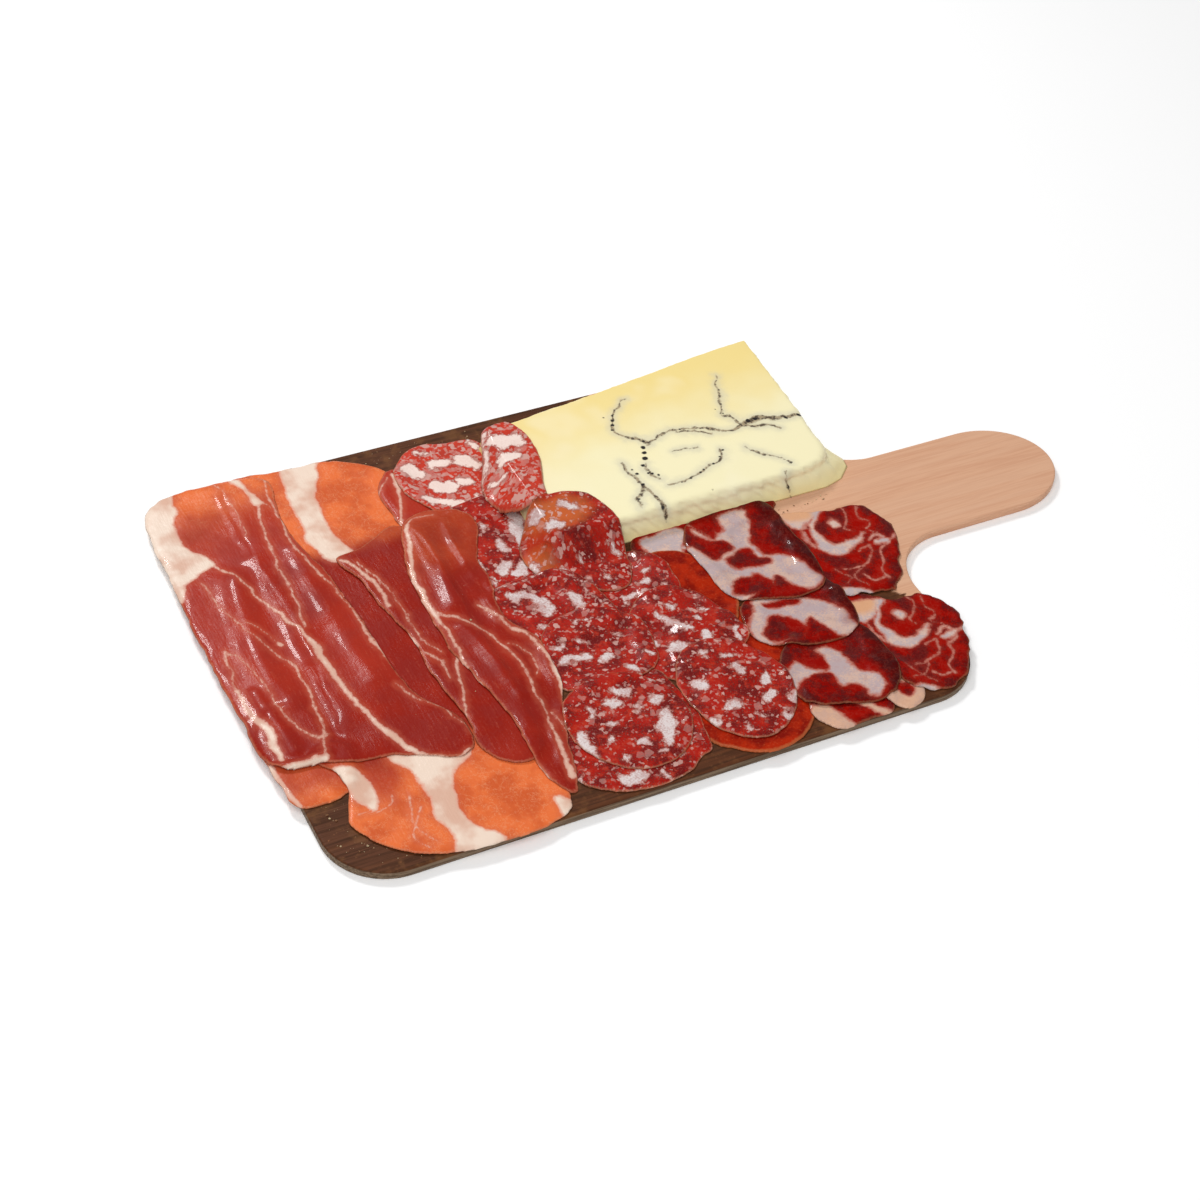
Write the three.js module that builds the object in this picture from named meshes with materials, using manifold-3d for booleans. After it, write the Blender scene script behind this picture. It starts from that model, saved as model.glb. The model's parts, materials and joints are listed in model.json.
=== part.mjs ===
// A charcuterie board laid for serving: a thin paddle board with a rounded tab handle, a slab of
// truffle cheese in one corner, and shingled slices of dry-cured ham, salami, lean cured loin and coppa.
//
// Millimetres, +Z up. The origin is on the underside of the board, at the centre of the blade.
// +X runs along the blade towards the handle and +Y across it, towards the side with the cheese.

import * as THREE from "three";
import { mergeVertices } from "three/addons/utils/BufferGeometryUtils.js";
import Module from "manifold-3d";

const wasm = await Module();
wasm.setup();

// ---- driving dimensions ----------------------------------------------------------------------

const BLADE_LENGTH = 271;
const BLADE_WIDTH = 220;
const BOARD_THICKNESS = 4;
const CORNER_RADIUS = 25;
const HANDLE_REACH = 101; // from the end of the blade to the tip of the handle
const HANDLE_WIDTH = 52;
const HANDLE_TIP_LENGTH = 31; // the half-ellipse that ends the handle
const NECK_RADIUS = 27; // the hollow between the blade's end and the handle
const EDGE_EASE = 0.5; // the sanded edge of the board

const CHEESE_HEIGHT = 11;
const CHEESE_EDGE = 0.8; // how far the top edge of the cheese is worn back

const HAM_THICKNESS = 1.2;
const SALAMI_THICKNESS = 1.6;
const LEAN_THICKNESS = 1.3;
const COPPA_THICKNESS = 1.5;
const LAY_GAP = 0.3; // between a slice and what it lies on

const CELL = 7; // spacing of the grid on which the slices drape
const STEEPEST = 0.9; // the steepest fall, height over run, that a slice drapes at
const RIM_STEP = 6.5; // spacing of the points on a slice's outline

// ---- materials -------------------------------------------------------------------------------

const material = (color, roughness) => new THREE.MeshStandardMaterial({ color, roughness, metalness: 0 });

const WOOD = material(0x4a3022, 0.55);
const CHEESE = material(0xf0e0a4, 0.5);
const HAM = material(0xb63a2a, 0.32);
const SALAMI = material(0xa52a26, 0.4);
const LEAN = material(0xb32d12, 0.3);
const COPPA = material(0x9c1c16, 0.32);

// ---- solids ----------------------------------------------------------------------------------

/** A closed geometry as a solid that can be joined and cut. */
function toSolid(geometry) {
  const bare = new THREE.BufferGeometry();
  bare.setAttribute("position", geometry.getAttribute("position"));
  bare.setIndex(geometry.index);
  const merged = mergeVertices(bare, 1e-4);
  const mesh = new wasm.Mesh({
    numProp: 3,
    vertProperties: new Float32Array(merged.getAttribute("position").array),
    triVerts: new Uint32Array(merged.index.array),
  });
  return new wasm.Manifold(mesh);
}

/** A solid's surface as a geometry with flat facets. */
function toGeometry(solid) {
  const mesh = solid.getMesh();
  const geometry = new THREE.BufferGeometry();
  geometry.setAttribute("position", new THREE.BufferAttribute(mesh.vertProperties, 3));
  geometry.setIndex(new THREE.BufferAttribute(mesh.triVerts, 1));
  geometry.computeVertexNormals();
  return geometry;
}

/** A prism that stands on a closed outline, from one height to another. */
function prism(outline, low, high) {
  const geometry = new THREE.ExtrudeGeometry(new THREE.Shape(outline), {
    depth: high - low,
    bevelEnabled: false,
    steps: 1,
  });
  return geometry.translate(0, 0, low);
}

// ---- outlines --------------------------------------------------------------------------------

/** A smooth closed outline through a few points, with points spaced evenly along it. */
function smoothOutline(points) {
  const curve = new THREE.CatmullRomCurve3(
    points.map(([x, y]) => new THREE.Vector3(x, y, 0)),
    true,
    "centripetal",
  );
  const count = Math.max(14, Math.round(curve.getLength() / RIM_STEP));
  return curve
    .getSpacedPoints(count)
    .slice(0, count)
    .map((p) => new THREE.Vector2(p.x, p.y));
}

/** A round slice: an ellipse about a centre, pushed out of true by two slow waves, then turned. */
function roundOutline([x, y], [a, b], phase, turn = 0) {
  const count = Math.max(14, Math.round((Math.PI * (a + b)) / RIM_STEP));
  return Array.from({ length: count }, (_, i) => {
    const angle = (i / count) * 2 * Math.PI;
    const swell = 1 + 0.025 * Math.cos(2 * angle + phase) + 0.02 * Math.cos(3 * angle + 2.3 * phase);
    const point = new THREE.Vector2(a * swell * Math.cos(angle), b * swell * Math.sin(angle));
    return point.rotateAround(new THREE.Vector2(), turn).add(new THREE.Vector2(x, y));
  });
}

/** Distance from a point to an outline, negative inside it. */
function distanceTo(outline, x, y) {
  let nearest = Infinity;
  let inside = false;
  for (let i = 0, j = outline.length - 1; i < outline.length; j = i++) {
    const p = outline[j];
    const q = outline[i];
    const dx = q.x - p.x;
    const dy = q.y - p.y;
    const along = THREE.MathUtils.clamp(((x - p.x) * dx + (y - p.y) * dy) / (dx * dx + dy * dy), 0, 1);
    nearest = Math.min(nearest, Math.hypot(x - p.x - along * dx, y - p.y - along * dy));
    if (p.y > y !== q.y > y && x < p.x + ((y - p.y) / dy) * dx) inside = !inside;
  }
  return inside ? -nearest : nearest;
}

// ---- the pile ----------------------------------------------------------------------------------

// A square grid over the blade, each cell cut into two facets. Every facet keeps the height of what
// has been laid on it so far at each of its corners, and every slice has its folds on this grid.

const GRID_CORNER = [-160, -126];
const COLUMNS = Math.ceil((-2 * GRID_CORNER[0]) / CELL) + 1;
const ROWS = Math.ceil((-2 * GRID_CORNER[1]) / CELL) + 1;
const REACH = 0.75 * CELL; // an outline this near the centre of a facet may cross the facet

const gridPoint = (i) => [
  GRID_CORNER[0] + (i % COLUMNS) * CELL,
  GRID_CORNER[1] + Math.floor(i / COLUMNS) * CELL,
];

function makeFacet(corners) {
  const [x, y] = [0, 1].map((axis) => corners.reduce((sum, i) => sum + gridPoint(i)[axis] / 3, 0));
  return { corners, x, y, tops: corners.map(() => BOARD_THICKNESS) };
}

const facets = [];
for (let row = 0; row < ROWS - 1; row++) {
  for (let column = 0; column < COLUMNS - 1; column++) {
    const near = row * COLUMNS + column;
    const far = near + COLUMNS;
    facets.push(makeFacet([near, near + 1, far + 1]), makeFacet([near, far + 1, far]));
  }
}

/** The facets that an outline may cross or hold. */
const facetsUnder = (outline) => facets.filter(({ x, y }) => distanceTo(outline, x, y) < REACH);

/**
 * Heights of a slice's underside at the corners of its facets. A slice rests on the highest thing
 * under it and falls away from there no more steeply than a stiff slice can.
 */
function drape(under) {
  const rest = new Map();
  for (const { corners, tops } of under) {
    corners.forEach((i, k) => rest.set(i, Math.max(rest.get(i) ?? 0, tops[k] + LAY_GAP)));
  }
  const heights = new Map();
  for (const i of rest.keys()) {
    const [x, y] = gridPoint(i);
    let height = 0;
    for (const [j, top] of rest) {
      const [u, v] = gridPoint(j);
      height = Math.max(height, top - STEEPEST * Math.hypot(x - u, y - v));
    }
    heights.set(i, height);
  }
  return heights;
}

/** A slab of even thickness over some facets, walled round its edge. */
function drapedSlab(under, heights, thickness) {
  const positions = [];
  const index = [];
  const lowOf = new Map();
  for (const [i, height] of heights) {
    lowOf.set(i, positions.length / 3);
    positions.push(...gridPoint(i), height, ...gridPoint(i), height + thickness);
  }
  const rim = new Map();
  for (const { corners } of under) {
    const [a, b, c] = corners.map((i) => lowOf.get(i));
    index.push(a + 1, b + 1, c + 1, a, c, b);
    for (const [p, q] of [[a, b], [b, c], [c, a]]) {
      if (!rim.delete(`${q},${p}`)) rim.set(`${p},${q}`, [p, q]);
    }
  }
  for (const [p, q] of rim.values()) {
    index.push(p, q, q + 1, p, q + 1, p + 1);
  }
  const geometry = new THREE.BufferGeometry();
  geometry.setAttribute("position", new THREE.Float32BufferAttribute(positions, 3));
  geometry.setIndex(index);
  return geometry;
}

/** The draped slab, trimmed to the slice's outline. */
function drapedSlice(outline, under, heights, thickness) {
  const slab = toSolid(drapedSlab(under, heights, thickness));
  const cutter = toSolid(prism(outline, 0, 2 * (BOARD_THICKNESS + CHEESE_HEIGHT)));
  return toGeometry(slab.intersect(cutter));
}

const board = new THREE.Group();

function addMesh(name, geometry, look) {
  const mesh = new THREE.Mesh(geometry, look);
  mesh.name = name;
  board.add(mesh);
}

/** Lays one slice on the pile. A slice with nothing under it but the board is a flat prism. */
function laySlice(name, outline, thickness, look) {
  const under = facetsUnder(outline);
  const heights = drape(under);
  const lowest = Math.min(...heights.values());
  const flat = lowest === Math.max(...heights.values());
  const geometry = flat
    ? prism(outline, lowest, lowest + thickness)
    : drapedSlice(outline, under, heights, thickness);
  addMesh(name, geometry, look);
  for (const facet of under) {
    facet.tops = facet.corners.map((i) => heights.get(i) + thickness);
  }
}

// ---- the board -------------------------------------------------------------------------------

/** One thin panel: a blade with rounded corners, hollow necks and a tab handle with an elliptic tip. */
function boardGeometry() {
  const right = BLADE_LENGTH / 2 - EDGE_EASE;
  const top = BLADE_WIDTH / 2 - EDGE_EASE;
  const radius = CORNER_RADIUS;
  const half = HANDLE_WIDTH / 2 - EDGE_EASE;
  const neck = NECK_RADIUS + EDGE_EASE;
  const tip = right + HANDLE_REACH - HANDLE_TIP_LENGTH;
  const quarter = Math.PI / 2;
  const shape = new THREE.Shape();
  shape.absarc(-right + radius, -top + radius, radius, 2 * quarter, 3 * quarter);
  shape.absarc(right - radius, -top + radius, radius, 3 * quarter, 4 * quarter);
  shape.absarc(right + neck, -half - neck, neck, 2 * quarter, quarter, true);
  shape.absellipse(tip, 0, HANDLE_TIP_LENGTH, half, -quarter, quarter);
  shape.absarc(right + neck, half + neck, neck, 3 * quarter, 2 * quarter, true);
  shape.absarc(right - radius, top - radius, radius, 0, quarter);
  shape.absarc(-right + radius, top - radius, radius, quarter, 2 * quarter);
  const geometry = new THREE.ExtrudeGeometry(shape, {
    depth: BOARD_THICKNESS - 2 * EDGE_EASE,
    bevelThickness: EDGE_EASE,
    bevelSize: EDGE_EASE,
    bevelSegments: 1,
    curveSegments: 6,
  });
  return geometry.translate(0, 0, EDGE_EASE);
}

addMesh("board", boardGeometry(), WOOD);

// ---- the cheese ------------------------------------------------------------------------------

// Around the slab: the foot of each side, then its top edge. The corner towards the handle has
// broken away and leaves a foot that stands out.
const CHEESE_SIDES = [
  { foot: [4, 16.5], rim: [5.5, 18.5] },
  { foot: [40, 15.5], rim: [41, 18] },
  { foot: [82, 15.6], rim: [82, 18] },
  { foot: [118, 15.5], rim: [112, 18.5] },
  { foot: [133, 15.5], rim: [127, 19.5] },
  { foot: [142, 18], rim: [135, 22] },
  { foot: [148.5, 24], rim: [139, 27] },
  { foot: [149.5, 29], rim: [140.2, 32] },
  { foot: [144, 37], rim: [140.2, 40] },
  { foot: [141.8, 50], rim: [140.7, 52] },
  { foot: [143.3, 80], rim: [142.4, 80] },
  { foot: [144.8, 109], rim: [143.9, 108.2] },
  { foot: [120, 107.4], rim: [119.5, 106] },
  { foot: [80, 101.5], rim: [79.5, 100] },
  { foot: [40, 96.6], rim: [40, 95] },
  { foot: [6, 91.5], rim: [7, 90.5] },
];

/** The slab: rings from the foot up to the worn top edge, closed by a fan at each end. */
function cheeseGeometry() {
  const middle = [75, 58];
  const floor = BOARD_THICKNESS;
  const levels = [
    { z: floor, rise: 0, inset: 0 },
    { z: floor + CHEESE_HEIGHT / 2, rise: 0.5, inset: 0 },
    { z: floor + CHEESE_HEIGHT - CHEESE_EDGE, rise: 1, inset: 0 },
    { z: floor + CHEESE_HEIGHT, rise: 1, inset: CHEESE_EDGE },
  ];
  const count = CHEESE_SIDES.length;
  const positions = [];
  for (const { z, rise, inset } of levels) {
    for (const { foot, rim } of CHEESE_SIDES) {
      const x = THREE.MathUtils.lerp(foot[0], rim[0], rise);
      const y = THREE.MathUtils.lerp(foot[1], rim[1], rise);
      const away = Math.hypot(x - middle[0], y - middle[1]);
      const keep = 1 - inset / away;
      positions.push(middle[0] + (x - middle[0]) * keep, middle[1] + (y - middle[1]) * keep, z);
    }
  }
  const bottom = positions.length / 3;
  positions.push(...middle, floor, ...middle, floor + CHEESE_HEIGHT);
  const index = [];
  for (let i = 0; i < count; i++) {
    const next = (i + 1) % count;
    for (let level = 0; level < levels.length - 1; level++) {
      const a = level * count;
      const b = a + count;
      index.push(a + i, a + next, b + next, a + i, b + next, b + i);
    }
    const last = (levels.length - 1) * count;
    index.push(bottom, next, i, bottom + 1, last + i, last + next);
  }
  const geometry = new THREE.BufferGeometry();
  geometry.setAttribute("position", new THREE.Float32BufferAttribute(positions, 3));
  geometry.setIndex(index);
  geometry.computeVertexNormals();
  return geometry;
}

/** Stands the slab on the board: what is laid across it from now on rests on its top. */
function setCheese() {
  addMesh("cheese_slab", cheeseGeometry(), CHEESE);
  for (const facet of facetsUnder(CHEESE_SIDES.map(({ foot }) => new THREE.Vector2(...foot)))) {
    facet.tops = facet.tops.map((top) => Math.max(top, BOARD_THICKNESS + CHEESE_HEIGHT));
  }
}

// ---- slices of ham that lie on the board -------------------------------------------------------

const ham = (name, points) => laySlice(name, smoothOutline(points), HAM_THICKNESS, HAM);

// The long slice under the others. Its orange ends show at both long edges of the board.
ham("ham_under", [
  [-102, 109.5], [-78, 109.5], [-56, 108], [-44, 102], [-35, 91], [-30, 74], [-29, 30], [-31, -30],
  [-38, -75], [-44, -97], [-47, -107], [-56, -111], [-78, -112], [-97, -109], [-110, -103],
  [-120, -91], [-124, -83], [-118, -70], [-111, -45], [-106, 10], [-106, 70],
]);

// The torn end that shows below the rolled edge of the left slice.
ham("ham_under_left", [
  [-139.5, -30], [-139.5, -52], [-137.5, -69.5], [-128, -70.5], [-122.5, -68.5], [-117.5, -60],
  [-114.5, -50], [-114, -34], [-121, -21], [-132, -20],
]);

// The narrow pale end that stands out beside the first salami.
ham("ham_pale_end", [
  [-33, 94], [-40, 89], [-45, 80], [-45, 68], [-43, 50], [-40, 25], [-30, 22], [-26, 45], [-27, 66],
  [-28, 86],
]);

// ---- lean cured loin and coppa -----------------------------------------------------------------

const lean = (name, at, half, phase) =>
  laySlice(name, roundOutline(at, half, phase), LEAN_THICKNESS, LEAN);
const coppa = (name, points) => laySlice(name, smoothOutline(points), COPPA_THICKNESS, COPPA);

coppa("coppa_under_cheese_edge", [
  [36, 4], [41, 11.5], [54, 14.2], [66, 14.6], [76, 11], [78, -2], [70, -16], [52, -20], [39, -8],
]);
lean("lean_slice_1", [39, -88], [22.5, 23.5], 0.4);
lean("lean_slice_2", [44, -56], [21, 20], 1.7);
lean("lean_slice_3", [46, -22], [19.5, 25.5], 2.9);
coppa("coppa_foot_left", [
  [60, -96], [64, -80], [80, -74], [92, -82], [95, -97], [90, -108], [78, -110.5], [66, -111.5],
  [60, -107],
]);
coppa("coppa_foot_right", [
  [88, -96], [92, -84], [101, -82], [106, -92], [105.5, -102], [103, -109.5], [96, -112], [90, -107],
]);

// The two slices next to the handle keep the lobed rim of the muscle.
coppa("coppa_handle_low", [
  [96, -68], [103, -52], [112, -50.5], [118, -55], [125, -57], [132, -56], [138.5, -59.5],
  [140.5, -66.5], [142.5, -73], [140, -80], [137, -83.5], [138.5, -88], [133, -95], [126, -104],
  [116, -108.5], [106, -105], [98, -96], [95, -82],
]);
coppa("coppa_handle_high", [
  [98, -8], [103, 2], [112, 4.5], [119, 2], [127, 1.5], [135, 1.5], [141, -3], [144, -10.5],
  [145.5, -18], [143, -27], [137, -39], [130, -49], [123, -52], [115, -47.5], [107, -49.5],
  [99, -43], [96, -25],
]);

coppa("coppa_row_3", [
  [57, -88], [59, -74], [70, -62], [84, -57], [97, -62], [103, -74], [103, -88], [98, -100],
  [86, -104.5], [72, -101], [61, -97],
]);
coppa("coppa_row_2", [
  [59, -56], [62, -44], [70, -32], [84, -26], [98, -32], [104, -45], [103, -60], [97, -67.5],
  [84, -68.5], [70, -65], [62, -62],
]);
coppa("coppa_row_1", [
  [57, -2], [61, 9], [72, 13.6], [86, 14.6], [97, 14.2], [102.5, 11], [102.5, 1], [104.5, -12], [104, -30],
  [99, -40], [87, -42], [75, -39], [65, -35], [59, -27], [58, -14],
]);

// ---- salami ------------------------------------------------------------------------------------

const salami = (name, at, half, phase, turn) =>
  laySlice(name, roundOutline(at, half, phase, turn), SALAMI_THICKNESS, SALAMI);

salami("salami_top_left", [-16, 80], [19.5, 24], 0.6);
salami("salami_left_1", [-14.2, 33], [26, 15.5], 1.1, 1.2);
salami("salami_right_1", [25, -5], [20, 18.5], 0.2);
setCheese();

// Folded in half, its straight fold towards the first slice, and lying on the end of the cheese.
laySlice(
  "salami_folded",
  smoothOutline([
    [5, 88], [15, 88.5], [22, 82], [23, 72], [20, 61], [13, 51], [6, 49], [3.5, 57], [3.5, 72],
  ]),
  2 * SALAMI_THICKNESS,
  SALAMI,
);

// The slice that climbs the corner of the cheese.
laySlice(
  "salami_on_cheese",
  smoothOutline([
    [5, 37], [15, 41], [25, 38.5], [30, 27], [32, 14], [33, 3], [27, -9], [17, -10], [7, -2],
    [-3, 10], [-7, 22], [-2, 31],
  ]),
  SALAMI_THICKNESS,
  SALAMI,
);
salami("salami_right_2", [34.5, -37], [19.5, 21.5], 1.9);
salami("salami_foot", [-13, -86], [28.5, 24.5], 0.9);
salami("salami_right_3", [38, -76.5], [22.5, 27], 2.6);
salami("salami_left_2", [-8, -10], [18.5, 20.5], 1.4);
salami("salami_left_3", [-1, -35], [22, 21], 0.1);

// ---- slices of ham on top ----------------------------------------------------------------------

ham("ham_left", [
  [-128, 110.5], [-137, 103], [-140, 90], [-140, 66], [-141, 48], [-141.5, 10], [-141, -28],
  [-140, -46], [-133, -52], [-124, -52.5], [-115, -56.5], [-101, -58], [-88, -62], [-80, -67],
  [-70, -69], [-65.5, -61], [-67, -48], [-75, -35], [-79, -20], [-79.5, 8], [-82, 42], [-87, 66],
  [-87, 86], [-84, 105], [-96, 110.5],
]);
ham("ham_middle", [
  [-77, 50], [-66, 51], [-54, 57], [-46, 59], [-40, 50], [-40, 0], [-41, -50], [-44, -76],
  [-52, -82], [-61, -77], [-66, -66], [-64, -52], [-67, -30], [-66, -6], [-70, 14], [-72, 34],
]);
ham("ham_right", [
  [-44, 57], [-34, 61], [-23, 59], [-15, 51], [-19, 36], [-23.5, 28], [-24, 12], [-28, 1],
  [-27, -11], [-21.5, -20], [-20.5, -34], [-23, -48], [-28, -62], [-34, -77], [-38, -92], [-43, -102],
  [-48, -95], [-50, -82], [-49, -64], [-51.5, -40], [-55, -18], [-55, 8], [-54, 27], [-49, 44],
]);

salami("salami_left_4", [-8.5, -76.5], [24.5, 25], 2.0);

export default board;
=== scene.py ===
from functools import partial
import json
import math

import bpy
import numpy as np
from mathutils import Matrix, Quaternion, Vector


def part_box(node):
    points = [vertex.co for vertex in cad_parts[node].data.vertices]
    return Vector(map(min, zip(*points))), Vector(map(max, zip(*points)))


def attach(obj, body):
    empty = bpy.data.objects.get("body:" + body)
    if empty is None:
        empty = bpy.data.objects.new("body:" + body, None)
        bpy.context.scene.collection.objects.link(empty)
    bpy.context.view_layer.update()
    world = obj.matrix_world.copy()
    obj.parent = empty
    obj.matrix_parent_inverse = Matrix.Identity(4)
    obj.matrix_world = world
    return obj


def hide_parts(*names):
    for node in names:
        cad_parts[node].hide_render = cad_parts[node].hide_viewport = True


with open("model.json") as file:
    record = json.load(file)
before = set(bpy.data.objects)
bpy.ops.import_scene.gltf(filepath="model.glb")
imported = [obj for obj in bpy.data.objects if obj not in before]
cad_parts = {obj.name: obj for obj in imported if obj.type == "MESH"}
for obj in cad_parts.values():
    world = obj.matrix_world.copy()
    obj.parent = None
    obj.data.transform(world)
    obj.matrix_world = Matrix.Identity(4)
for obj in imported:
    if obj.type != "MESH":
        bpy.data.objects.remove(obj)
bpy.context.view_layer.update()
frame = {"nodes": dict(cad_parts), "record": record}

# ---- the table top, the light and the view --------------------------------------------------------
# The board lies on a plain white table top under a broad soft light, with one large lamp behind it
# to the left, whose reflection shows as the wet shine on the meat.

VIEW_TARGET = Vector((0.0122, -0.0113, 0.004))
VIEW_DISTANCE = 0.9024
VIEW_AZIMUTH = math.radians(-120.35)
VIEW_ELEVATION = math.radians(42.554)
VIEW_ROLL = math.radians(5.544)
VIEW_LENS = 68.16

scene = bpy.context.scene
scene.view_settings.view_transform = "Standard"

towards_view = Vector((
    math.cos(VIEW_ELEVATION) * math.cos(VIEW_AZIMUTH),
    math.cos(VIEW_ELEVATION) * math.sin(VIEW_AZIMUTH),
    math.sin(VIEW_ELEVATION),
))
view_camera = bpy.data.objects.new("view", bpy.data.cameras.new("view"))
view_camera.data.lens = VIEW_LENS
view_camera.location = VIEW_TARGET + VIEW_DISTANCE * towards_view
level = (-towards_view).to_track_quat("-Z", "Y")
view_camera.rotation_mode = "QUATERNION"
view_camera.rotation_quaternion = level @ Quaternion((0, 0, 1), VIEW_ROLL)
scene.collection.objects.link(view_camera)
scene.camera = view_camera


def add_lamp(name, place, size, power):
    """A square area lamp at a place, turned to face the middle of the board."""
    lamp = bpy.data.objects.new(name, bpy.data.lights.new(name, "AREA"))
    lamp.data.size = size
    lamp.data.energy = power
    lamp.location = place
    lamp.rotation_mode = "QUATERNION"
    lamp.rotation_quaternion = (VIEW_TARGET - Vector(place)).to_track_quat("-Z", "Y")
    scene.collection.objects.link(lamp)


add_lamp("lamp_behind", (-0.1, 1.0, 1.05), 0.24, 9)
add_lamp("lamp_front", (-0.6, -0.9, 1.6), 1.6, 22)

sky = bpy.data.worlds.new("soft_sky")
sky.use_nodes = True
sky.node_tree.nodes["Background"].inputs["Color"].default_value = (1, 1, 1, 1)
sky.node_tree.nodes["Background"].inputs["Strength"].default_value = 0.32
scene.world = sky


class Value:
    """A number in a material's tree. Python's operators combine two of them through Math nodes."""

    def __init__(self, socket):
        self.socket = socket

    def math(self, operation, *others, swap=False):
        tree = self.socket.id_data
        node = tree.nodes.new("ShaderNodeMath")
        node.operation = operation
        terms = [self, *others][::-1] if swap else [self, *others]
        for socket, term in zip(node.inputs, terms):
            if isinstance(term, Value):
                tree.links.new(term.socket, socket)
            else:
                socket.default_value = term
        return Value(node.outputs[0])

    def __add__(self, other):
        return self.math("ADD", other)

    def __sub__(self, other):
        return self.math("SUBTRACT", other)

    def __rsub__(self, other):
        return self.math("SUBTRACT", other, swap=True)

    def __mul__(self, other):
        return self.math("MULTIPLY", other)

    __radd__ = __add__
    __rmul__ = __mul__

    def lower(self, other):
        return self.math("MINIMUM", other)

    def higher(self, other):
        return self.math("MAXIMUM", other)


def tint(code):
    """The linear colour of a six-digit colour code."""
    parts = [int(code[i:i + 2], 16) / 255 for i in (0, 2, 4)]
    return (*[c / 12.92 if c <= 0.04045 else ((c + 0.055) / 1.055) ** 2.4 for c in parts], 1)


class Finish:
    """A material. Constants go straight onto the shader's sockets, by name."""

    def __init__(self, name, **constants):
        self.material = bpy.data.materials.new(name)
        self.material.use_nodes = True
        self.tree = self.material.node_tree
        self.shader = self.tree.nodes["Principled BSDF"]
        for socket, value in constants.items():
            self.shader.inputs[socket.replace("_", " ")].default_value = value

    def node(self, kind, settings, sockets, output=0):
        """Adds any node: its settings first, then the values or links of its sockets."""
        node = self.tree.nodes.new(kind)
        for key, value in settings.items():
            setattr(node, key, value)
        for key, value in sockets.items():
            if isinstance(value, Value):
                self.tree.links.new(value.socket, node.inputs[key])
            else:
                node.inputs[key].default_value = value
        return Value(node.outputs[output])

    def attribute(self, name, output="Fac"):
        return self.node("ShaderNodeAttribute", {"attribute_name": name}, {}, output)

    def place(self, stretch=(1, 1, 1)):
        """Object coordinates in millimetres, stretched along each axis."""
        where = self.node("ShaderNodeTexCoord", {}, {}, "Object")
        scale = [1000 * s for s in stretch]
        return self.node("ShaderNodeVectorMath", {"operation": "MULTIPLY"}, {0: where, 1: scale})

    def axis(self, name):
        """One object coordinate, in millimetres."""
        return self.node("ShaderNodeSeparateXYZ", {}, {0: self.place()}, name)

    def clouds(self, where, size, detail=3, roughness=0.55):
        """Noise with lumps of a size in millimetres, from about 0.3 to 0.7."""
        sockets = {"Vector": where, "Scale": 1 / size, "Detail": detail, "Roughness": roughness}
        return self.node("ShaderNodeTexNoise", {}, sockets, "Fac")

    def step(self, value, start, stop, low=0.0, high=1.0):
        """A smooth step from low to high as the value goes from start to stop."""
        sockets = {"Value": value, "From Min": start, "From Max": stop, "To Min": low, "To Max": high}
        return self.node("ShaderNodeMapRange", {"interpolation_type": "SMOOTHSTEP"}, sockets)

    def mix(self, first, second, factor):
        """Blends two colours, each a colour code or a link."""
        first, second = [tint(c) if isinstance(c, str) else c for c in (first, second)]
        sockets = {0: factor, 6: first, 7: second}
        return self.node("ShaderNodeMix", {"data_type": "RGBA"}, sockets, 2)

    def layers(self, colour, *coats):
        """A colour with others laid over it in turn, each by its own factor."""
        for coat, factor in coats:
            colour = self.mix(colour, coat, factor)
        return colour

    def bump(self, height, depth):
        """Relief of a depth in millimetres where the height goes from 0 to 1."""
        sockets = {"Height": height, "Strength": 1.0, "Distance": depth / 1000}
        self.connect("Normal", self.node("ShaderNodeBump", {}, sockets))

    def connect(self, socket, value):
        self.tree.links.new(value.socket, self.shader.inputs[socket])


TABLE_SIZE = 12.0

table_mesh = bpy.data.meshes.new("table_top")
corners = np.array([(-1, -1, 0), (1, -1, 0), (1, 1, 0), (-1, 1, 0)]) * TABLE_SIZE / 2
table_mesh.from_pydata(corners.tolist(), [], [(0, 1, 2, 3)])
table_top = bpy.data.objects.new("table_top", table_mesh)
scene.collection.objects.link(table_top)
laminate = Finish(
    "white_laminate", Base_Color=tint("ffffff"), Roughness=0.9, Specular_IOR_Level=0.1,
    Emission_Color=tint("ffffff"), Emission_Strength=0.05,
)
table_mesh.materials.append(laminate.material)

# ---- the board ---------------------------------------------------------------------------------
# One thin hardwood panel, sawn to a paddle and sanded. The blade is stained dark brown on its upper
# face; the handle and the edges keep the bare wood.

board_high = 1000 * np.array(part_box("board")[1])
BLADE_HALF = (135.5, 110.0)
CORNER_RADIUS = 25.0
NECK_RADIUS = 27.0
HANDLE_HALF = 26.0
HANDLE_TIP = 31.0
BOARD_TOP = board_high[2]
EDGE_ROUND = 0.7


def sweep(middle, radii, start, stop, count=40):
    """Points on an ellipse about a middle, from one angle to another, in quarter turns."""
    angle = np.linspace(start, stop, count) * math.pi / 2
    return np.stack([middle[0] + radii[0] * np.cos(angle), middle[1] + radii[1] * np.sin(angle)], 1)


def board_outline(inset):
    """The paddle's outline, drawn in by an inset: round corners shrink and hollow necks grow."""
    right, top = BLADE_HALF
    corner = (CORNER_RADIUS - inset,) * 2
    neck = (NECK_RADIUS + inset,) * 2
    tip = (HANDLE_TIP - inset, HANDLE_HALF - inset)
    tip_x = board_high[0] - HANDLE_TIP
    x, y = right - CORNER_RADIUS, top - CORNER_RADIUS
    return np.concatenate([
        sweep((-x, -y), corner, 2, 3),
        sweep((x, -y), corner, 3, 4),
        sweep((right + NECK_RADIUS, -HANDLE_HALF - NECK_RADIUS), neck, 2, 1),
        sweep((tip_x, 0), tip, -1, 1, 90),
        sweep((right + NECK_RADIUS, HANDLE_HALF + NECK_RADIUS), neck, 3, 2),
        sweep((x, y), corner, 0, 1),
        sweep((-x, y), corner, 1, 2),
    ])


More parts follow.
